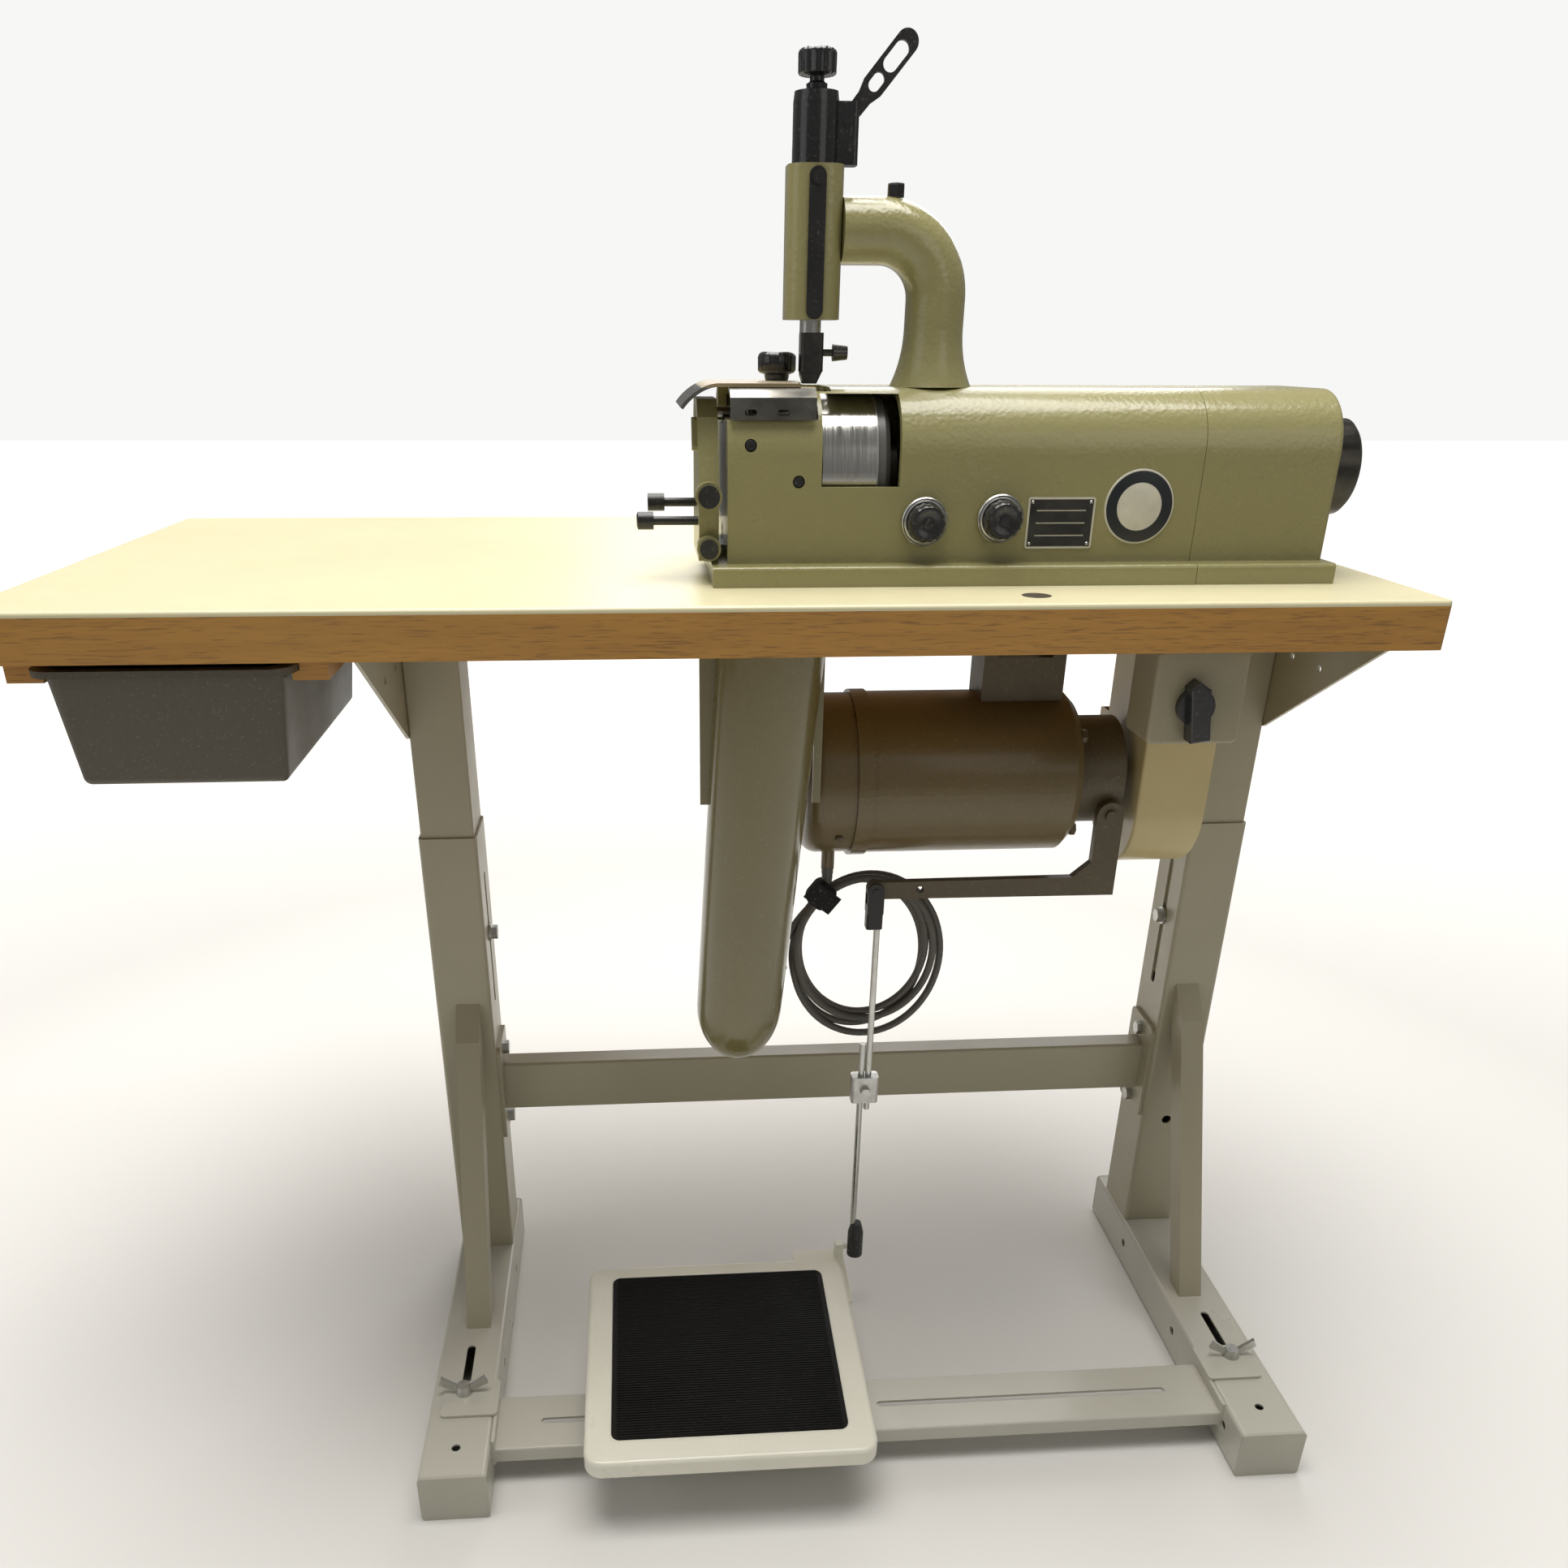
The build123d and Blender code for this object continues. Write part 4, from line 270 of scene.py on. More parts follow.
def add_shape(name, shape, material, body, crease=35.0):
    """Turns a finished bmesh into a piece of its body, with its creases kept sharp."""
    for edge in shape.edges:
        if len(edge.link_faces) == 2 and edge.calc_face_angle() > radians(crease):
            edge.smooth = False
    mesh = bpy.data.meshes.new(name)
    shape.to_mesh(mesh)
    shape.free()
    piece = link_piece(name, mesh, material, body)
    return piece


# tapered rubber sleeve that keeps the cord from kinking where it leaves the motor
relief = turned(((0.0036, 0.0), (0.0058, 0.0), (0.0060, -0.0015), (0.0053, -0.004), (0.0055, -0.006),
                 (0.0049, -0.009), (0.0051, -0.011), (0.0046, -0.014), (0.0047, -0.016), (0.0040, -0.020),
                 (0.0036, -0.020), (0.0036, 0.0)), 32, Matrix.Translation(gland))
add_shape("cord_relief", relief, cord_rubber, "table_unit")
# hook-and-loop strap closed round the turns
strap_fleece = rubber("strap_fleece", (0.006, 0.006, 0.007, 1), (0.016, 0.016, 0.017, 1), 0.85, 1600.0)
strap_shape = bmesh.new()
bmesh.ops.create_cube(strap_shape, size=1.0)
bmesh.ops.scale(strap_shape, vec=(0.026, 0.0245, 0.023), verts=strap_shape.verts[:])
bmesh.ops.bevel(strap_shape, geom=strap_shape.edges[:], offset=0.0075, offset_type="OFFSET", segments=5,
                profile=0.5, affect="EDGES", material=-1)
tail = bmesh.ops.create_cube(strap_shape, size=1.0)
bmesh.ops.scale(strap_shape, vec=(0.019, 0.0015, 0.030), verts=tail["verts"])
bmesh.ops.translate(strap_shape, vec=(0.0005, -0.0128, 0.001), verts=tail["verts"])
for face in strap_shape.faces:
    face.smooth = True
bmesh.ops.transform(strap_shape, verts=strap_shape.verts[:],
                    matrix=Matrix.Translation(strap) @ Matrix.Rotation(-radians(52), 4, "Y"))
cord_strap = add_shape("cord_strap", strap_shape, strap_fleece, "table_unit")
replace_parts(cord_strap, "cord_tie")

# ---------------------------------------------------------------- head paint
# The head's iron castings: hammer-finish enamel, olive beige, with a fine dimpled skin that is deeper
# in some patches than in others, and with slightly darker stains.
dimples, dimples_in, dimples_out = group_start(
    "dimpled_enamel",
    [("Vector", "NodeSocketVector", None), ("Dimple Size", "NodeSocketFloat", 260.0)],
    [("Height", "NodeSocketFloat")])
cells = add_node(dimples, "ShaderNodeTexVoronoi", Vector=dimples_in.outputs["Vector"],
                 Scale=dimples_in.outputs["Dimple Size"])
cells.feature = "SMOOTH_F1"
flow = add_node(dimples, "ShaderNodeTexNoise", Vector=dimples_in.outputs["Vector"], Scale=130.0, Detail=3.0)
patch = add_node(dimples, "ShaderNodeTexNoise", Vector=dimples_in.outputs["Vector"], Scale=11.0, Detail=2.0)
skin_height = work_out(dimples, "MULTIPLY_ADD", cells.outputs["Distance"],
                       spread(dimples, patch.outputs["Fac"], 0.35, 0.65, 0.35, 1.0), flow.outputs["Fac"])
dimples.links.new(skin_height, dimples_out.inputs["Height"])


def enamel(name, colour, shade, worn, roughness, dimple_size, dimple_depth, coat=0.35):
    """Enamel over metal: dimpled skin, broad stains, faint dust and short scratches."""
    material, tree, shader, place = material_start(name)
    wear = use_group(tree, marks, Vector=place, Stain_Size=7.0, Scratch_Size=42.0)
    skin = use_group(tree, dimples, Vector=place, Dimple_Size=dimple_size)
    tint = blend_colours(tree, spread(tree, wear.outputs["Stains"], 0, 1, 0.0, 0.45), colour, shade)
    tint = blend_colours(tree, spread(tree, wear.outputs["Scratches"], 0, 1, 0.0, 0.22), tint, worn)
    tint = blend_colours(tree, spread(tree, wear.outputs["Dust"], 0, 1, 0.0, 0.12), tint,
                         (0.50, 0.46, 0.36, 1))
    tree.links.new(tint, shader.inputs["Base Color"])
    rough = spread(tree, wear.outputs["Stains"], 0, 1, roughness - 0.05, roughness + 0.09)
    tree.links.new(rough, shader.inputs["Roughness"])
    shader.inputs["Coat Weight"].default_value = coat
    shader.inputs["Coat Roughness"].default_value = 0.12
    bump(tree, shader, skin.outputs["Height"], 0.5, dimple_depth)
    return material


head_enamel = enamel("head_enamel", (0.292, 0.268, 0.118, 1), (0.252, 0.230, 0.098, 1),
                     (0.36, 0.34, 0.20, 1), 0.27, 330.0, 0.0007)
for name in ("machine_body", "pulley_cover", "presser_arm", "feed_bracket"):
    finish_node(name, head_enamel)

# ---------------------------------------------------------------- scrap chute
# Half-round sheet-metal chute under the head, enamelled like the head but darker and glossier; its
# dimples are wider and far shallower.
chute_enamel = enamel("chute_enamel", (0.190, 0.165, 0.068, 1), (0.155, 0.134, 0.054, 1),
                      (0.30, 0.27, 0.17, 1), 0.21, 90.0, 0.00022, coat=0.6)
finish_node("scrap_chute", chute_enamel)

# ---------------------------------------------------------------- stand
# Welded steel tubes in warm grey powder coat, smooth and half gloss; the feet and the treadle bar get a
# lighter copy of it, painted light for the light they catch near the floor. The end caps are grey, the wing
# bolts and hexagon bolts zinc-plated.
stand_coat = enamel("stand_coat", (0.385, 0.350, 0.245, 1), (0.34, 0.308, 0.212, 1), (0.56, 0.54, 0.47, 1),
                    0.36, 420.0, 0.00012, coat=0.15)
for name in ("outer_columns", "braces", "crossbar", "table_supports"):
    finish_node(name, stand_coat)
# a lighter, cooler copy of the stand's coat: painted light on the feet and the treadle bar
foot_coat_painted_light = enamel("foot_coat_painted_light", (0.52, 0.505, 0.43, 1), (0.46, 0.445, 0.375, 1), (0.66, 0.65, 0.60, 1),
                   0.32, 420.0, 0.00016, coat=0.25)
for name in ("feet", "treadle_bar"):
    finish_node(name, foot_coat_painted_light)
cap_coat = enamel("cap_coat", (0.45, 0.435, 0.36, 1), (0.34, 0.325, 0.26, 1), (0.20, 0.19, 0.16, 1),
                  0.42, 300.0, 0.0002, coat=0.1)
finish_node("foot_caps", cap_coat)


def metal(name, colour, tarnish, roughness, brushed, along=(1.0, 1.0, 1.0), depth=0.0001):
    """Bare or plated metal: a fine grain, drawn out into lines by an uneven along, and patchy tarnish."""
    material, tree, shader, place = material_start(name)
    wear = use_group(tree, marks, Vector=place, Stain_Size=30.0, Scratch_Size=120.0)
    tint = blend_colours(tree, spread(tree, wear.outputs["Stains"], 0, 1, 0.0, 0.8), colour, tarnish)
    tree.links.new(tint, shader.inputs["Base Color"])
    shader.inputs["Metallic"].default_value = 1.0
    stretch = add_node(tree, "ShaderNodeMapping", Vector=place, Scale=along)
    lines = add_node(tree, "ShaderNodeTexNoise", Vector=stretch.outputs["Vector"], Scale=brushed,
                     Detail=4.0)
    tree.links.new(spread(tree, lines.outputs["Fac"], 0.3, 0.7, roughness - 0.08, roughness + 0.10),
                   shader.inputs["Roughness"])
    bump(tree, shader, lines.outputs["Fac"], 0.25, depth)
    return material


def dark_part(name, base, way, low, high, colour, roughness):
    """A copy of a metal that turns to a dull dark finish beyond a place along X, Y or Z."""
    material = base.copy()
    material.name = name
    tree = material.node_tree
    shader = tree.nodes["Principled BSDF"]
    place = add_node(tree, "ShaderNodeTexCoord").outputs["Object"]
    split = add_node(tree, "ShaderNodeSeparateXYZ", Vector=place)
    mask = spread(tree, split.outputs[way], low, high, 0.0, 1.0)
    for socket, value in (("Base Color", colour), ("Roughness", roughness), ("Metallic", 0.0)):
        target = shader.inputs[socket]
        if socket == "Base Color":
            tree.links.new(blend_colours(tree, mask, target.links[0].from_socket, value), target)
        else:
            mix = tree.nodes.new("ShaderNodeMix")
            tree.links.new(mask, mix.inputs["Factor"])
            if target.links:
                tree.links.new(target.links[0].from_socket, mix.inputs[2])
            else:
                mix.inputs[2].default_value = target.default_value
            mix.inputs[3].default_value = value
            tree.links.new(mix.outputs[0], target)
    return material


zinc_plate = metal("zinc_plate", (0.60, 0.60, 0.58, 1), (0.38, 0.37, 0.34, 1), 0.34, 220.0)
for name in ("stand_fasteners", "pivot_brackets", "height_bolts", "rod_clamp"):
    finish_node(name, zinc_plate)
rod_zinc = metal("rod_zinc", (0.62, 0.62, 0.60, 1), (0.45, 0.44, 0.41, 1), 0.30, 300.0, (1.0, 1.0, 0.06))
finish_node("rod_lower", rod_zinc)
finish_node("rod_upper", dark_part("rod_and_fork", rod_zinc, "Z", 0.4565, 0.4575,
                                   (0.015, 0.015, 0.014, 1), 0.45))

# ---------------------------------------------------------------- treadle
# Pressed-steel tray in off-white enamel, lightly stained and scratched, round a black rubber mat that
# has fine ribs from side to side.
treadle_enamel = enamel("treadle_enamel", (0.78, 0.76, 0.65, 1), (0.66, 0.64, 0.53, 1),
                        (0.16, 0.15, 0.13, 1), 0.32, 300.0, 0.0002, coat=0.3)
finish_node("treadle", treadle_enamel)
mat_rubber = rubber("mat_rubber", (0.0025, 0.003, 0.0025, 1), (0.006, 0.006, 0.0055, 1), 0.40, 700.0,
                    dusty=0.05, shine=0.16)
finish_node("treadle_mat", mat_rubber)
tilt = radians(4.8)
tray_place = Matrix.Translation((-0.003, -0.2305, 0.072)) @ Matrix.Rotation(tilt, 4, "X")
rib_pitch = 0.00285
rib_length = 0.199
rib_half = 0.0008
rib_first = -0.0662
rib_count = 68
ribs = bmesh.new()
profile = [ribs.verts.new((-rib_length / 2, rib_first + rib_half * dy, 0.0174 + dz))
           for dy, dz in ((-1.0, 0.0), (-0.6, 0.0007), (0.6, 0.0007), (1.0, 0.0))]
lines = [ribs.edges.new((profile[k], profile[k + 1])) for k in range(3)]
pulled = bmesh.ops.extrude_edge_only(ribs, edges=lines)
bmesh.ops.translate(ribs, vec=(rib_length, 0, 0),
                    verts=[v for v in pulled["geom"] if isinstance(v, bmesh.types.BMVert)])
bmesh.ops.holes_fill(ribs, edges=ribs.edges[:], sides=4)
one_rib = ribs.verts[:] + ribs.edges[:] + ribs.faces[:]
for number in range(1, rib_count):
    copy = bmesh.ops.duplicate(ribs, geom=one_rib)
    bmesh.ops.translate(ribs, vec=(0, rib_pitch * number, 0),
                        verts=[v for v in copy["geom"] if isinstance(v, bmesh.types.BMVert)])
bmesh.ops.recalc_face_normals(ribs, faces=ribs.faces[:])
bmesh.ops.transform(ribs, matrix=tray_place, verts=ribs.verts[:])
rib_mesh = bpy.data.meshes.new("mat_ribs")
ribs.to_mesh(rib_mesh)
ribs.free()
mat_ribs = link_piece("mat_ribs", rib_mesh, mat_rubber, "treadle")
boot_rubber = rubber("boot_rubber", (0.010, 0.010, 0.010, 1), (0.03, 0.03, 0.03, 1), 0.42, 800.0)
finish_node("lower_boot", boot_rubber)

# ---------------------------------------------------------------- table
# Beech board with a varnished solid edge and a pale cream plastic laminate on top, which is faintly
# mottled, stained and scratched. The drawer's rails are of the same wood.
core_wood, tree, shader, place = material_start("core_wood")
grain_place = add_node(tree, "ShaderNodeMapping", Vector=place, Scale=(1.0, 9.0, 16.0))
grain = add_node(tree, "ShaderNodeTexNoise", Vector=grain_place.outputs["Vector"], Scale=6.0, Detail=7.0,
                 Roughness=0.62, Distortion=0.5)
fleck_place = add_node(tree, "ShaderNodeMapping", Vector=place, Scale=(7.0, 60.0, 110.0))
flecks = add_node(tree, "ShaderNodeTexNoise", Vector=fleck_place.outputs["Vector"], Scale=7.0, Detail=2.0)
broad = add_node(tree, "ShaderNodeTexNoise", Vector=place, Scale=2.3, Detail=3.0)
tint = blend_colours(tree, spread(tree, grain.outputs["Fac"], 0.32, 0.68, 0, 1),
                     (0.47, 0.235, 0.042, 1), (0.36, 0.168, 0.028, 1))
tint = blend_colours(tree, spread(tree, flecks.outputs["Fac"], 0.55, 0.68, 0, 0.75), tint,
                     (0.17, 0.078, 0.022, 1))
tint = blend_colours(tree, spread(tree, broad.outputs["Fac"], 0.35, 0.65, 0, 0.4), tint,
                     (0.50, 0.28, 0.075, 1))
tree.links.new(tint, shader.inputs["Base Color"])
tree.links.new(spread(tree, grain.outputs["Fac"], 0.3, 0.7, 0.34, 0.50), shader.inputs["Roughness"])
shader.inputs["Coat Weight"].default_value = 0.2
shader.inputs["Coat Roughness"].default_value = 0.2
bump(tree, shader, flecks.outputs["Fac"], 0.3, 0.0003)
finish_node("table_core", core_wood)

laminate, tree, shader, place = material_start("cream_laminate")
wear = use_group(tree, marks, Vector=place, Stain_Size=3.5, Scratch_Size=30.0)
cloud = add_node(tree, "ShaderNodeTexNoise", Vector=place, Scale=38.0, Detail=6.0, Roughness=0.7)
tint = blend_colours(tree, spread(tree, cloud.outputs["Fac"], 0.35, 0.65, 0, 1),
                     (0.67, 0.622, 0.405, 1), (0.650, 0.600, 0.388, 1))
tint = blend_colours(tree, spread(tree, wear.outputs["Stains"], 0, 1, 0, 0.25), tint,
                     (0.64, 0.585, 0.385, 1))
tint = blend_colours(tree, spread(tree, wear.outputs["Scratches"], 0, 1, 0, 0.10), tint,
                     (0.55, 0.48, 0.32, 1))
tree.links.new(tint, shader.inputs["Base Color"])
tree.links.new(spread(tree, wear.outputs["Stains"], 0, 1, 0.30, 0.36), shader.inputs["Roughness"])
bump(tree, shader, cloud.outputs["Fac"], 0.15, 0.0001)
finish_node("table_laminate", laminate)
rail_wood = core_wood.copy()
rail_wood.name = "rail_wood"
finish_node("drawer_rails", rail_wood)

# ---------------------------------------------------------------- drawer, switch box, plug
# Moulded plastic: the drawer is a dark warm grey, the switch box a lighter one, the plug in the table
# brown-black, and the switch knob and presser cap are glossy black.


def moulded(name, colour, scuffed, roughness, grain, sheen=0.0):
    """Moulded plastic: fine spark-eroded grain, scuffs and dust."""
    material, tree, shader, place = material_start(name)
    wear = use_group(tree, marks, Vector=place, Stain_Size=10.0, Scratch_Size=55.0)
    fine = add_node(tree, "ShaderNodeTexNoise", Vector=place, Scale=grain, Detail=2.0)
    tint = blend_colours(tree, spread(tree, wear.outputs["Stains"], 0, 1, 0, 0.5), colour, scuffed)
    tint = blend_colours(tree, spread(tree, wear.outputs["Scratches"], 0, 1, 0, 0.5), tint, scuffed)
    tint = blend_colours(tree, spread(tree, wear.outputs["Dust"], 0, 1, 0, 0.10), tint,
                         (0.6, 0.58, 0.52, 1))
    tree.links.new(tint, shader.inputs["Base Color"])
    tree.links.new(spread(tree, wear.outputs["Stains"], 0, 1, roughness - 0.05, roughness + 0.10),
                   shader.inputs["Roughness"])
    shader.inputs["Coat Weight"].default_value = sheen
    bump(tree, shader, fine.outputs["Fac"], 0.3, 0.0002)
    return material


finish_node("drawer", moulded("drawer_plastic", (0.078, 0.066, 0.044, 1), (0.105, 0.090, 0.062, 1),
                              0.40, 600.0))
box_plastic = moulded("switch_box_plastic", (0.29, 0.258, 0.168, 1), (0.25, 0.222, 0.143, 1), 0.38, 500.0)
finish_node("switch_box", box_plastic)
finish_node("cable_plug", moulded("plug_plastic", (0.045, 0.035, 0.028, 1), (0.09, 0.07, 0.05, 1),
                                  0.4, 400.0))
black_gloss = moulded("black_gloss", (0.008, 0.008, 0.009, 1), (0.025, 0.025, 0.026, 1), 0.22, 900.0,
                      sheen=0.4)
for name in ("switch_knob", "presser_cap"):
    finish_node(name, black_gloss)

# ---------------------------------------------------------------- black knobs
# Moulded black grips, each with a rim of fine flutes and a bevelled, dished top; the pressure and gauge
# knobs also have a turned neck below. Each turns with its own body.


def grip_knob(name, node, points, flutes, depth, rim, place):
    """A turned knob whose rim, beyond a radius, is cut with fine flutes; it stands for its CAD node."""
    shape = turned(points, 4 * flutes, Matrix.Identity(4))
    for vertex in shape.verts:
        reach = vertex.co.xy.length
        if reach > rim:
            step = round(atan2(vertex.co.y, vertex.co.x) / (2 * pi) * 4 * flutes) % 4
            cut = 1.0 - (0.0, 0.55, 1.0, 0.55)[step] * depth / reach
            vertex.co.x *= cut
            vertex.co.y *= cut
    bmesh.ops.transform(shape, matrix=place, verts=shape.verts[:])
    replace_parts(add_shape(name, shape, black_gloss, node, crease=40.0), node)


towards_user = Matrix.Rotation(radians(90), 4, "X")
for name, node in (("feed_grip", "knife_feed_knob"), ("grinder_grip", "grinder_knob")):
    low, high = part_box(node)
    long = high[1] - low[1]
    grip_knob(name, node,
              ((0.0, 0.0), (0.0128, 0.0), (0.0138, 0.0010), (0.0139, long * 0.80), (0.0134, long * 0.90),
               (0.0118, long * 0.97), (0.0092, long * 0.98), (0.0072, long * 0.93), (0.0040, long * 0.93),
               (0.0038, long * 0.96), (0.0, long * 0.97)), 14, 0.0006, 0.0127,
              Matrix.Translation(((low[0] + high[0]) / 2, high[1], (low[2] + high[2]) / 2)) @ towards_user)

low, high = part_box("pressure_knob")
top = high[2] - low[2]
grip_knob("pressure_grip", "pressure_knob",
          ((0.0, 0.0), (0.0048, 0.0), (0.0048, top - 0.0240), (0.0074, top - 0.0235),
           (0.0076, top - 0.0205), (0.0052, top - 0.0190), (0.0052, top - 0.0165), (0.0124, top - 0.0155),
           (0.0135, top - 0.0145),
           (0.0136, top - 0.0028), (0.0126, top - 0.0008), (0.0108, top), (0.0090, top - 0.0006),
           (0.0078, top - 0.0020), (0.0, top - 0.0022)), 20, 0.0008, 0.0123,
          Matrix.Translation(((low[0] + high[0]) / 2, (low[1] + high[1]) / 2, low[2])))

low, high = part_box("gauge_knob")
top = high[2] - low[2]
gauge_place = Vector(((low[0] + high[0]) / 2, (low[1] + high[1]) / 2, low[2]))
grip_knob("gauge_grip", "gauge_knob",
          ((0.0, 0.0), (0.0086, 0.0), (0.0088, top * 0.22), (0.0094, top * 0.30), (0.0096, top * 0.38),
           (0.0136, top * 0.44), (0.0148, top * 0.50), (0.0149, top * 0.86), (0.0138, top * 0.95),
           (0.0118, top), (0.0096, top - 0.0004), (0.0082, top - 0.0016), (0.0, top - 0.0018)),
          24, 0.0004, 0.0134, Matrix.Translation(gauge_place))

# ---------------------------------------------------------------- handwheel
# Blackened steel wheel with a plain turned rim, fixed on the right end of the knife spindle, which it
# brings round by hand.
finish_node("handwheel", metal("handwheel_steel", (0.085, 0.080, 0.068, 1), (0.045, 0.042, 0.036, 1),
                               0.30, 160.0, (0.3, 1.0, 1.0)))

# ---------------------------------------------------------------- motor and drive
# The clutch motor's housing and end bell are enamelled brown. The clutch housing, lever, bracket and
# both pulleys are a darker, duller brown, and the belt guard is cream.
motor_enamel = enamel("motor_enamel", (0.140, 0.098, 0.034, 1), (0.110, 0.076, 0.026, 1),
                      (0.22, 0.17, 0.09, 1), 0.34, 240.0, 0.00025, coat=0.25)
for name in ("motor_housing", "motor_end_bell"):
    finish_node(name, motor_enamel)
cast_brown = enamel("cast_brown", (0.098, 0.074, 0.036, 1), (0.068, 0.050, 0.025, 1), (0.18, 0.15, 0.10, 1),
                    0.46, 170.0, 0.0006, coat=0.05)
for name in ("clutch_housing", "motor_bracket", "clutch_lever", "motor_pulley", "head_pulley"):
    finish_node(name, cast_brown)
guard_cream = enamel("guard_cream", (0.53, 0.435, 0.205, 1), (0.45, 0.365, 0.17, 1), (0.40, 0.34, 0.20, 1),
                     0.34, 300.0, 0.00018, coat=0.2)
finish_node("belt_guard", guard_cream)
finish_node("drive_belt", rubber("belt_rubber", (0.012, 0.012, 0.012, 1), (0.04, 0.037, 0.033, 1),
                                 0.6, 900.0))

# ---------------------------------------------------------------- bright parts of the head
# Ground and polished steel: bell knife, bearings, feed roller, motor shaft, presser bar and spring. The
# spindle, foot and work plate are darker steel, the grinding wheel is bonded abrasive, and the strap,
# feed screws and lifter lever are blackened.
turned_steel = metal("turned_steel", (0.60, 0.59, 0.56, 1), (0.50, 0.49, 0.46, 1), 0.17, 900.0,
                     (1.0, 0.03, 0.03), depth=0.00001)
for name in ("spindle_bearings", "feed_roller", "motor_shaft"):
    finish_node(name, turned_steel)
finish_node("bell_knife", dark_part("knife_drum", turned_steel, "X", 0.1175, 0.1195,
                                    (0.10, 0.098, 0.09, 1), 0.35))
finish_node("knife_spindle", metal("nut_steel", (0.17, 0.165, 0.155, 1), (0.08, 0.078, 0.072, 1),
                                   0.38, 200.0))
polished = metal("polished_steel", (0.60, 0.59, 0.57, 1), (0.36, 0.35, 0.32, 1), 0.20, 180.0, depth=0.00002)
for name in ("presser_bar", "pressure_spring"):
    finish_node(name, polished)
dark_steel = metal("dark_steel", (0.10, 0.098, 0.092, 1), (0.045, 0.043, 0.04, 1), 0.26, 260.0,
                   depth=0.00002)
finish_node("presser_foot", dark_steel)
throat_steel = metal("throat_steel", (0.34, 0.33, 0.30, 1), (0.16, 0.15, 0.13, 1), 0.16, 90.0,
                     (0.3, 1.0, 1.0), depth=0.00001)
finish_node("work_plate", dark_part("plate_and_throat", throat_steel, "Z", 0.9058, 0.9064,
                                    (0.30, 0.235, 0.13, 1), 0.32))
finish_node("grinding_wheel", moulded("abrasive", (0.42, 0.36, 0.30, 1), (0.25, 0.21, 0.17, 1),
                                      0.85, 300.0))
black_oxide = moulded("black_oxide", (0.012, 0.012, 0.012, 1), (0.035, 0.033, 0.03, 1), 0.34, 500.0)
for name in ("front_strap", "feed_screws", "lifter_lever"):
    finish_node(name, black_oxide)

# ---------------------------------------------------------------- small parts of the head
# Zinc collars round the two front knobs, a cream washer under the gauge knob, the black screw on top of
# the arm, and black discs in the two oil holes in the front: painted shade for the dark inside of the
# holes.
for name, x, z in (("feed_collar", 0.154, 0.815), ("grinder_collar", 0.212, 0.817)):
    collar = turned(((0.0140, 0.0), (0.0140, 0.0012), (0.0148, 0.0014), (0.0158, 0.0008), (0.0168, 0.0012),
                     (0.0176, 0.0004), (0.0178, -0.0010), (0.0140, -0.0010), (0.0140, 0.0)), 48,
                    Matrix.Translation((x, -0.1157, z)) @ towards_user)
    add_shape(name, collar, zinc_plate, "table_unit")

washer_cream = enamel("washer_cream", (0.66, 0.60, 0.42, 1), (0.55, 0.50, 0.34, 1), (0.4, 0.36, 0.26, 1),
                      0.4, 300.0, 0.0002)
plate_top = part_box("work_plate")[1][2]
washer = turned(((0.0044, 0.0), (0.0185, 0.0), (0.0185, 0.0012), (0.0175, 0.0020), (0.0044, 0.0020),
                 (0.0044, 0.0)), 48,
                Matrix.Translation((gauge_place.x, gauge_place.y, plate_top - 0.0019)))
add_shape("gauge_washer", washer, washer_cream, "table_unit")


def hexagon_head(name, radius, height, place, material, body):
    """A hexagon bolt head with its corners turned off at the top."""
    shape = bmesh.new()
    bmesh.ops.create_cone(shape, cap_ends=True, segments=6, radius1=radius, radius2=radius, depth=height)
    bmesh.ops.translate(shape, vec=(0, 0, height / 2), verts=shape.verts[:])
    top = [edge for edge in shape.edges if all(v.co.z > height * 0.9 for v in edge.verts)]
    bmesh.ops.bevel(shape, geom=top, offset=height * 0.2, offset_type="OFFSET", segments=2, profile=0.5,
                    affect="EDGES", material=-1)
    bmesh.ops.transform(shape, matrix=place, verts=shape.verts[:])
    return add_shape(name, shape, material, body)


# black hexagon screw on top of the arm
hexagon_head("arm_oil_screw", 0.0064, 0.0090, Matrix.Translation((0.131, -0.0485, 1.0304)), black_oxide,
             "table_unit")

# black discs in the two oil holes of the front: painted shade that stands for the dark inside of the holes
radius = 0.0044
for number, (x, z) in enumerate(((0.022, 0.868), (0.058, 0.843))):
    painted_shade_disc = turned(((0.0, 0.0010), (radius * 0.30, 0.0010), (radius * 0.34, 0.0016),
                       (radius * 0.80, 0.0016), (radius * 0.97, 0.0006), (radius * 0.97, -0.0004),
                       (0.0, -0.0004)), 32,
                      Matrix.Translation((x, -0.1100, z)) @ towards_user)
    add_shape(f"painted_shade_disc_{number + 1}", painted_shade_disc, black_oxide, "table_unit")

# ---------------------------------------------------------------- name plate and badge
# Two thin printed aluminium plates fixed to the head: a black rectangle with a light border and three
# plain rules, held by four rivets, and a round one with a plain black ring, stuck on.
plate_face, tree, shader, place = material_start("name_plate")
split = add_node(tree, "ShaderNodeSeparateXYZ", Vector=place)


def band(tree, value, low, high, soft=0.00025):
    """1 between two values and 0 outside them."""
    rise = spread(tree, value, low - soft, low + soft, 0.0, 1.0)
    fall = spread(tree, value, high - soft, high + soft, 1.0, 0.0)
    return work_out(tree, "MULTIPLY", rise, fall)


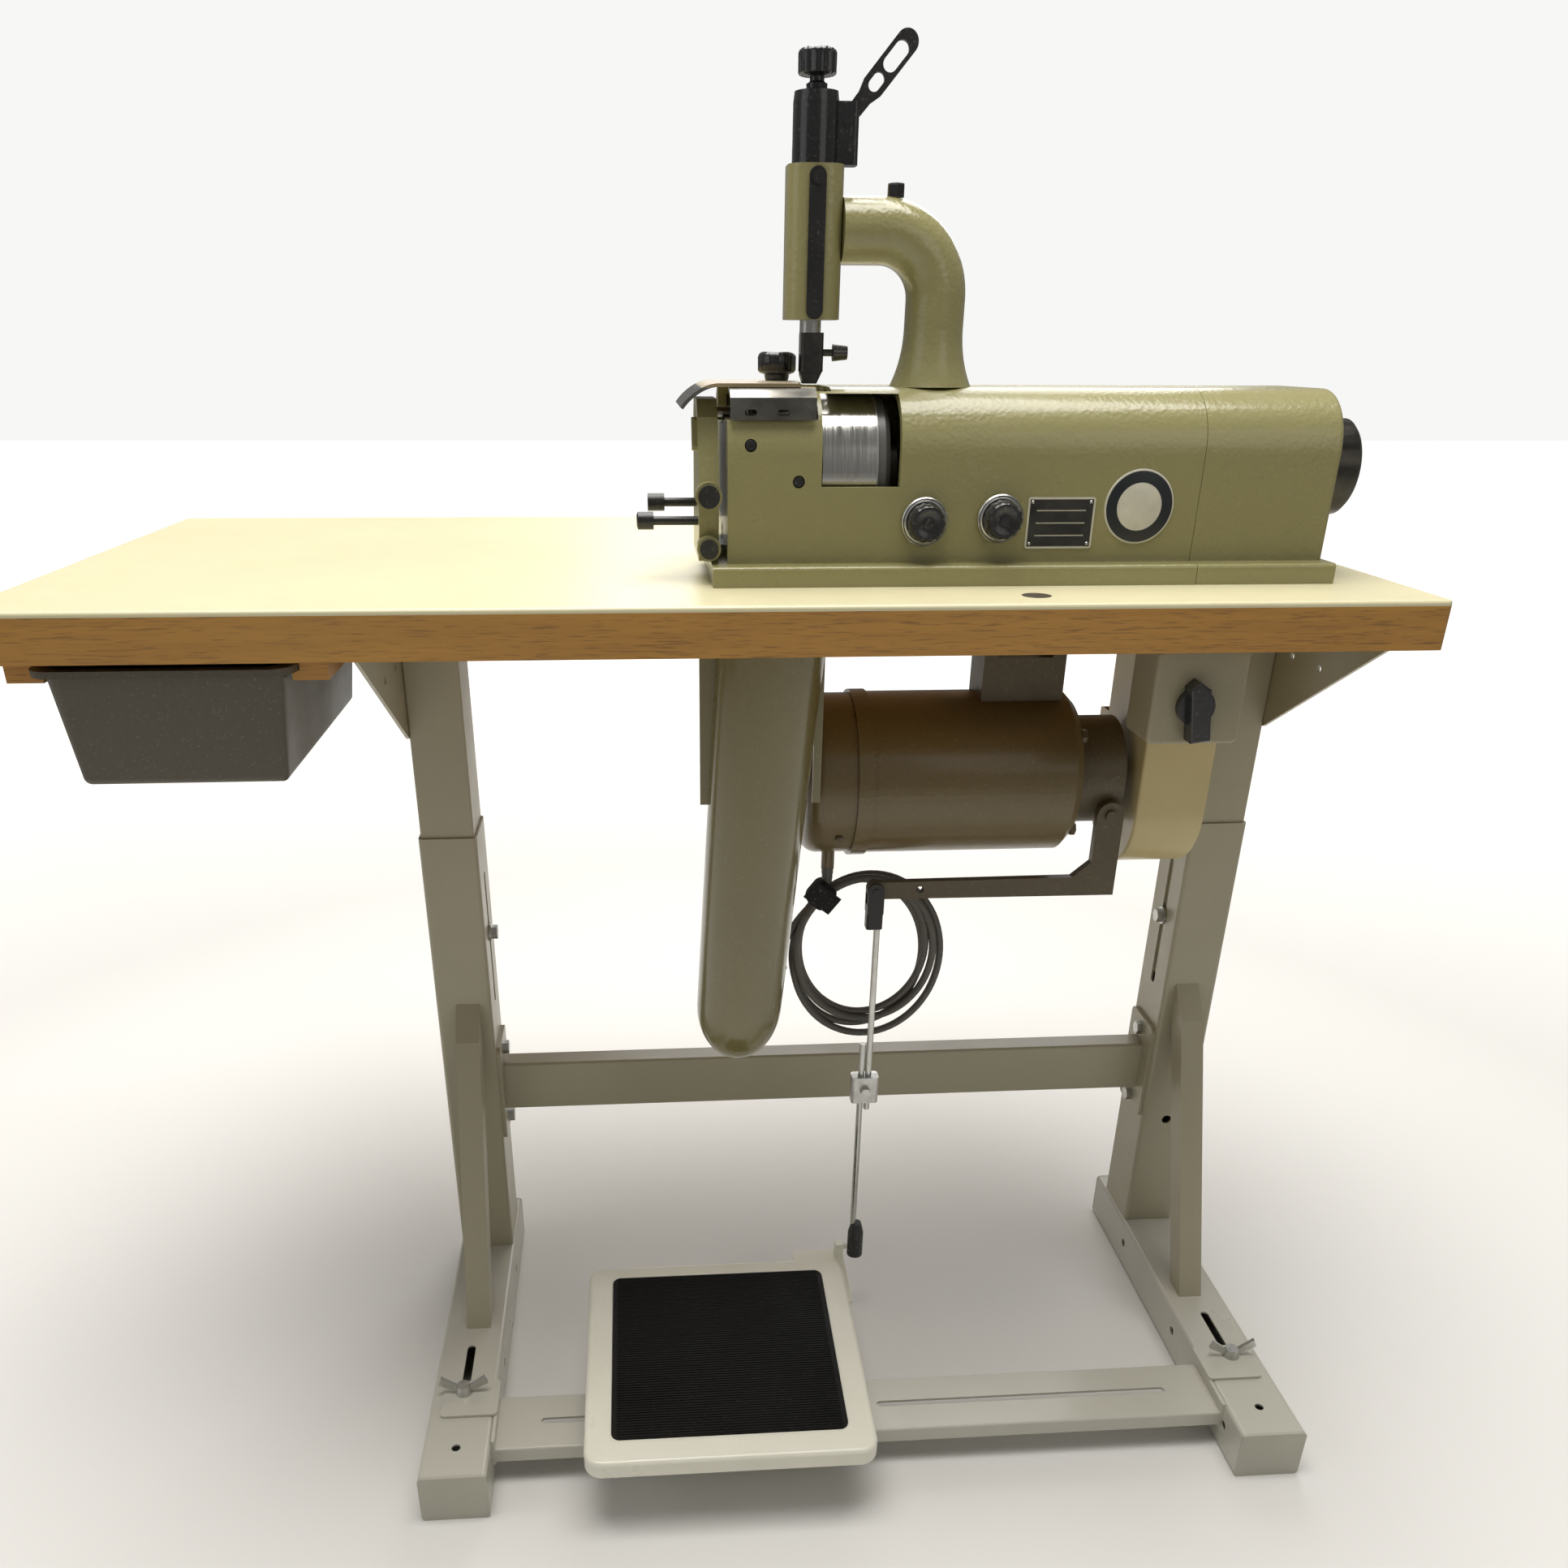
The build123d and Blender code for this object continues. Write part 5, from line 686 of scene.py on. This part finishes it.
panel = work_out(tree, "MULTIPLY", band(tree, split.outputs["X"], 0.2345, 0.2835),
                 band(tree, split.outputs["Z"], 0.7965, 0.8305))
rule_half = 0.0004
stripes = None
for height in (0.8045, 0.8135, 0.8225):
    stripe = work_out(tree, "MULTIPLY",
                      band(tree, split.outputs["Z"], height - rule_half, height + rule_half, 0.0002),
                      band(tree, split.outputs["X"], 0.240, 0.278, 0.0002))
    stripes = stripe if stripes is None else work_out(tree, "MAXIMUM", stripes, stripe)
wear = use_group(tree, marks, Vector=place, Stain_Size=60.0, Scratch_Size=200.0)
light = blend_colours(tree, wear.outputs["Stains"], (0.62, 0.60, 0.50, 1), (0.52, 0.50, 0.41, 1))
dark = blend_colours(tree, wear.outputs["Stains"], (0.012, 0.012, 0.011, 1), (0.03, 0.029, 0.026, 1))
tint = blend_colours(tree, panel, light, dark)
printed = work_out(tree, "MULTIPLY", stripes, spread(tree, wear.outputs["Dust"], 0, 1, 0.8, 0.5))
tint = blend_colours(tree, printed, tint, light)
tree.links.new(tint, shader.inputs["Base Color"])
tree.links.new(spread(tree, wear.outputs["Stains"], 0, 1, 0.30, 0.42), shader.inputs["Roughness"])
plate_width = 0.052
plate_height = 0.037
plate_thickness = 0.0010
shape = bmesh.new()
bmesh.ops.create_cube(shape, size=1.0)
bmesh.ops.scale(shape, vec=(plate_width, plate_thickness, plate_height), verts=shape.verts[:])
upright = [edge for edge in shape.edges
           if abs(edge.verts[0].co.y - edge.verts[1].co.y) > plate_thickness / 2]
bmesh.ops.bevel(shape, geom=upright, offset=0.002, offset_type="OFFSET", segments=4, profile=0.5,
                affect="EDGES", material=-1)
bmesh.ops.translate(shape, vec=(0.259, -0.1129, 0.8135), verts=shape.verts[:])
add_shape("name_plate", shape, plate_face, "table_unit")
rivet_places = ((0.2365, 0.7985), (0.2815, 0.7985), (0.2365, 0.8285), (0.2815, 0.8285))
for number, (x, z) in enumerate(rivet_places):
    rivet = turned(((0.0, 0.0007), (0.0008, 0.0006), (0.0013, 0.0), (0.0, 0.0)), 16,
                   Matrix.Translation((x, -0.1134, z)) @ towards_user)
    add_shape(f"name_plate_rivet_{number + 1}", rivet, zinc_plate, "table_unit")

badge_face, tree, shader, place = material_start("badge")
badge_x = 0.319
badge_z = 0.825
centred = add_node(tree, "ShaderNodeMapping", Vector=place, Location=(-badge_x, 0.0, -badge_z))
flat = add_node(tree, "ShaderNodeVectorMath")
flat.operation = "MULTIPLY"
tree.links.new(centred.outputs["Vector"], flat.inputs[0])
flat.inputs[1].default_value = (1.0, 0.0, 1.0)
distance = add_node(tree, "ShaderNodeVectorMath")
distance.operation = "LENGTH"
tree.links.new(flat.outputs["Vector"], distance.inputs[0])
reach = distance.outputs["Value"]
wear = use_group(tree, marks, Vector=place, Stain_Size=60.0, Scratch_Size=200.0)
light = blend_colours(tree, wear.outputs["Stains"], (0.66, 0.64, 0.54, 1), (0.56, 0.54, 0.45, 1))
tint = blend_colours(tree, band(tree, reach, 0.0172, 0.0256), light, (0.010, 0.012, 0.016, 1))
tree.links.new(tint, shader.inputs["Base Color"])
tree.links.new(spread(tree, wear.outputs["Stains"], 0, 1, 0.28, 0.40), shader.inputs["Roughness"])
badge = turned(((0.0, 0.0012), (0.0255, 0.0012), (0.0266, 0.0009), (0.0270, 0.0002), (0.0270, -0.0004),
                (0.0, -0.0004)), 72, Matrix.Translation((badge_x, -0.1125, badge_z)) @ towards_user)
add_shape("badge", badge, badge_face, "table_unit")

# ---------------------------------------------------------------- motor screws
# Brown enamelled hexagon screws that hold the clutch housing to the motor, and a round-headed screw that
# clamps the band of the end bell.
screw_brown = enamel("screw_brown", (0.10, 0.07, 0.035, 1), (0.07, 0.05, 0.025, 1), (0.3, 0.27, 0.2, 1),
                     0.4, 300.0, 0.0002)
motor_axis = Vector((0.0, -0.0105, 0.588))
motor_end_x = 0.318
screw_circle = 0.060
for number in range(4):
    angle = pi / 4 + number * pi / 2
    spot = motor_axis + Vector((motor_end_x, screw_circle * cos(angle), screw_circle * sin(angle)))
    hexagon_head(f"clutch_screw_{number + 1}", 0.006, 0.005,
                 Matrix.Translation(spot) @ Matrix.Rotation(pi / 2, 4, "Y"), screw_brown, "table_unit")
bell_screw = turned(((0.0, 0.0022), (0.0028, 0.0022), (0.0036, 0.0014), (0.0040, -0.004),
                     (0.0, -0.004)), 24,
                    Matrix.Translation((0.107, -0.0685, 0.5460)) @ Matrix.Rotation(radians(126), 4, "X"))
add_shape("bell_screw", bell_screw, screw_brown, "table_unit")

# ---------------------------------------------------------------- floor and light
# A plain pale floor under the machine, which isn't part of it, and soft studio light: one large lamp
# overhead and weaker ones in front, at the left and behind.
floor = bmesh.new()
bmesh.ops.create_grid(floor, x_segments=1, y_segments=1, size=14.0)
floor_mesh = bpy.data.meshes.new("floor")
floor.to_mesh(floor_mesh)
floor.free()
floor_piece = bpy.data.objects.new("floor", floor_mesh)
bpy.context.scene.collection.objects.link(floor_piece)
floor_paint, tree, shader, place = material_start("floor_paint")
shade = add_node(tree, "ShaderNodeTexNoise", Vector=place, Scale=1.5, Detail=4.0)
tree.links.new(blend_colours(tree, shade.outputs["Fac"], (0.76, 0.75, 0.72, 1), (0.80, 0.79, 0.76, 1)),
               shader.inputs["Base Color"])
shader.inputs["Roughness"].default_value = 0.7
# the floor turns to a white sweep away from the machine on every side
from_middle = add_node(tree, "ShaderNodeVectorMath")
from_middle.operation = "LENGTH"
tree.links.new(place, from_middle.inputs[0])
tree.links.new(blend_colours(tree, spread(tree, from_middle.outputs["Value"], 1.3, 3.4, 0.0, 1.0),
                             (0.0, 0.0, 0.0, 1), (0.90, 0.90, 0.88, 1)), shader.inputs["Emission Color"])
seen = add_node(tree, "ShaderNodeLightPath")
tree.links.new(seen.outputs["Is Camera Ray"], shader.inputs["Emission Strength"])
shader.inputs["Specular IOR Level"].default_value = 0.1
floor_mesh.materials.append(floor_paint)

world = bpy.data.worlds.new("studio")
world.use_nodes = True
sky = world.node_tree
room = sky.nodes["Background"]
room.inputs["Color"].default_value = (1.0, 0.985, 0.95, 1)
room.inputs["Strength"].default_value = 0.20
backdrop = sky.nodes.new("ShaderNodeBackground")
backdrop.inputs["Color"].default_value = (1.0, 1.0, 0.985, 1)
backdrop.inputs["Strength"].default_value = 0.93
seen = sky.nodes.new("ShaderNodeLightPath")
either = sky.nodes.new("ShaderNodeMixShader")
sky.links.new(seen.outputs["Is Camera Ray"], either.inputs[0])
sky.links.new(room.outputs[0], either.inputs[1])
sky.links.new(backdrop.outputs[0], either.inputs[2])
sky.links.new(either.outputs[0], sky.nodes["World Output"].inputs["Surface"])
bpy.context.scene.world = world
for name, place, aim, size, power, colour in (
        ("ceiling_light", (-0.1, 0.15, 3.0), (0.0, 0.0, 0.7), 2.2, 112.0, (1.0, 0.98, 0.95)),
        ("front_light", (1.6, -2.6, 2.0), (0.1, 0.0, 0.6), 1.6, 6.0, (1.0, 0.97, 0.93)),
        ("left_light", (-2.6, -1.0, 1.8), (0.0, 0.0, 0.6), 1.8, 7.0, (0.98, 0.98, 1.0)),
        ("rear_light", (0.6, 2.4, 2.2), (0.0, 0.0, 0.8), 1.8, 26.0, (1.0, 1.0, 1.0))):
    lamp_data = bpy.data.lights.new(name, "AREA")
    lamp_data.size = size
    lamp_data.energy = power
    lamp_data.color = colour
    lamp = bpy.data.objects.new(name, lamp_data)
    bpy.context.scene.collection.objects.link(lamp)
    lamp.location = place
    lamp.rotation_euler = (Vector(aim) - Vector(place)).to_track_quat("-Z", "Y").to_euler()
bpy.context.scene.view_settings.view_transform = "Standard"
